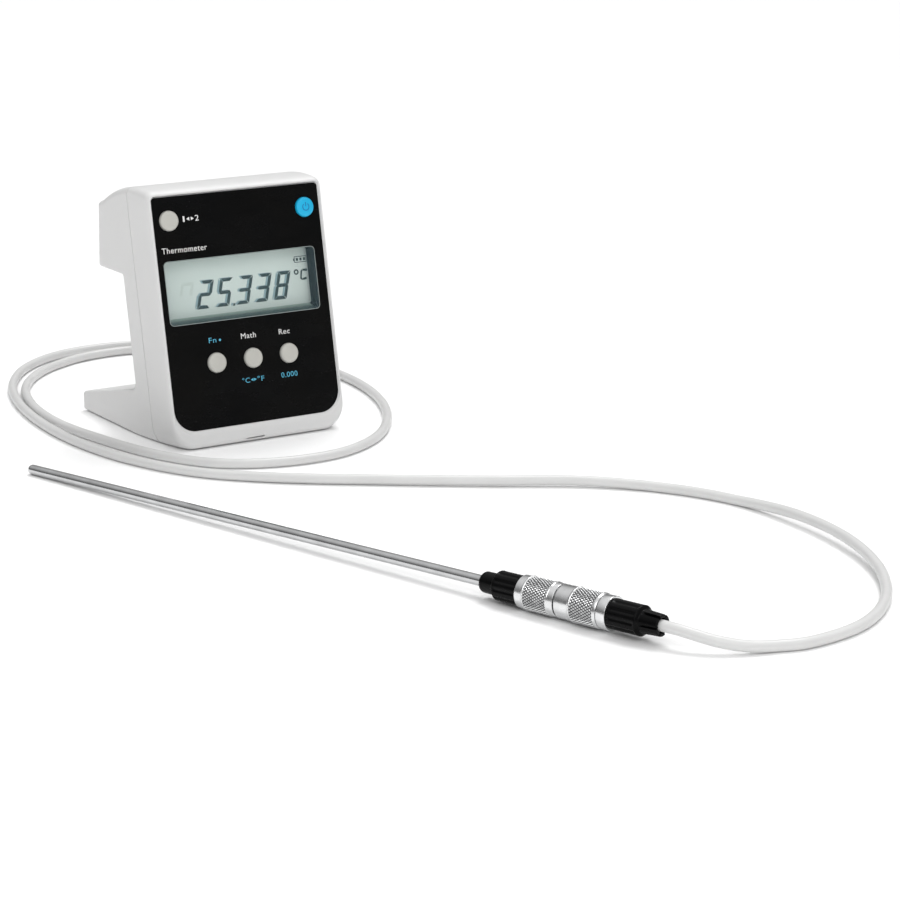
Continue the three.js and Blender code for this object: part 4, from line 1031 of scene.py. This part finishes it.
# ------------------------------------------------------------------ feet, screws, cells
for nm, x, y in (("foot_front_left", -42, 17), ("foot_front_right", 42, 17), ("foot_rear_left", -46, 119), ("foot_rear_right", 46, 119)):
    turned(nm + "_pad", rounded([(0.0, 0.0), (0.0, 4.5), (0.5, 4.9), (1.9, 5.0), (1.9, 0.0)], 0.3), upright(x, y - 66.0), RUB, segs=40, slot="foot_rubber", replaces=[nm], angle=40)
i = 0
for x in (-52.5, 52.5):
    for w in (46.0, 69.0):
        i += 1
        o = turned(f"case_screw_{i}_cross", rounded([(17.0, 0.0), (17.0, 1.1), (44.0, 1.25), (44.0, 2.85), (45.3, 2.8), (46.0, 2.0), (46.15, 0.0)], 0.15), on_depth(x, w), SCREW, segs=40, slot="stainless", replaces=[f"case_screw_{i}"])
        t1 = tool(*loft([[lean(x + a, d, w + b) for a, b in ((-1.7, -0.3), (1.7, -0.3), (1.7, 0.3), (-1.7, 0.3))] for d in (45.0, 47.0)]))
        t2 = tool(*loft([[lean(x + a, d, w + b) for a, b in ((-0.3, -1.7), (0.3, -1.7), (0.3, 1.7), (-0.3, 1.7))] for d in (45.0, 47.0)]))
        cut(o, t1, t2)
        o.data.set_sharp_from_angle(angle=math.radians(35))
n = 0
for z in (113.6, 129.2):
    for side in (-1, 1):
        n += 1
        d, w = pv(84.5, z)
        x0 = -50.6 if side < 0 else 0.6
        pl = lambda s, a, b, d=d, w=w: lean(s, d + a, w + b)
        turned(f"battery_cell_{n}_sleeved", rounded([(x0, 0.0), (x0, 7.1), (x0 + 48.8, 7.1), (x0 + 48.8, 2.7), (x0 + 49.8, 2.7), (x0 + 49.8, 0.0)], 0.5), pl, CELL, segs=48, slot="cell_sleeve", replaces=[f"battery_cell_{n}"], angle=40)

# ------------------------------------------------------------------ carried-over nodes
for nm, m in {
    "battery_door": DOORW, "battery_tray": BLACKIN, "door_hinge_pin": SCREW, "main_board": BOARD, "lcd_connector_strip": CERAM,
    "battery_contact_left": SCREW, "battery_contact_right": SCREW, "battery_spring_lower": SCREW, "battery_spring_upper": SCREW,
    "socket_nut_1": NICKEL, "socket_nut_2": NICKEL, "sensor_element": CERAM, "sensor_leads": CERAM,
    "channel_switch": BLACKIN, "power_switch": BLACKIN, "function_switch": BLACKIN, "math_switch": BLACKIN, "record_switch": BLACKIN,
}.items():
    o = NODES[nm]
    o.data.materials.clear()
    o.data.materials.append(m)
bevel(NODES["battery_door"], 0.00035, 2)
bevel(NODES["battery_tray"], 0.0003, 2)

# ------------------------------------------------------------------ floor and light
bpy.ops.mesh.primitive_plane_add(size=60.0, location=(0, 0, 0))
floor = bpy.context.object
floor.name = "floor"
k = Mat("floor_white")
k.set(Base_Color=k.ramp(k.noise(2.0), [(0.3, (0.975, 0.975, 0.975)), (0.7, (0.985, 0.985, 0.985))]), Roughness=k.ramp(k.noise(5.0), [(0.3, 0.75), (0.7, 0.8)]), Specular_IOR_Level=0.15)
floor.data.materials.append(k.m)

world = bpy.data.worlds.new("studio")
scene.world = world
world.use_nodes = True
wt = world.node_tree
bg = wt.nodes["Background"]
tc = wt.nodes.new("ShaderNodeTexCoord")
sx = wt.nodes.new("ShaderNodeSeparateXYZ")
wt.links.new(tc.outputs["Generated"], sx.inputs[0])
wr = wt.nodes.new("ShaderNodeValToRGB")
stops = [(0.0, 0.55), (0.07, 0.20), (0.30, 0.25), (0.52, 0.62), (0.78, 1.02), (1.0, 1.02)]
while len(wr.color_ramp.elements) < len(stops):
    wr.color_ramp.elements.new(0.5)
for el, (pos, val) in zip(wr.color_ramp.elements, stops):
    el.position, el.color = pos, (val, val, val, 1.0)
wt.links.new(sx.outputs["Z"], wr.inputs["Fac"])
wt.links.new(wr.outputs["Color"], bg.inputs["Color"])
bg.inputs["Strength"].default_value = 0.84


def aim(o, target):
    o.rotation_euler = (Vector(target) - o.location).to_track_quat("-Z", "Y").to_euler()


sun = bpy.data.objects.new("key_sun", bpy.data.lights.new("key_sun", "SUN"))
sun.location = (0.75, 0.62, 2.0)
sun.data.energy = 1.32
sun.data.angle = math.radians(28)
scene.collection.objects.link(sun)
aim(sun, (0, 0, 0))
fill = bpy.data.objects.new("fill_panel", bpy.data.lights.new("fill_panel", "AREA"))
fill.location = (-1.0, -2.3, 1.6)
fill.data.shape, fill.data.size, fill.data.energy = "SQUARE", 1.8, 26.0
scene.collection.objects.link(fill)
aim(fill, (0, 0, 0.05))
scene.view_settings.view_transform = "Standard"
scene.view_settings.look = "None"
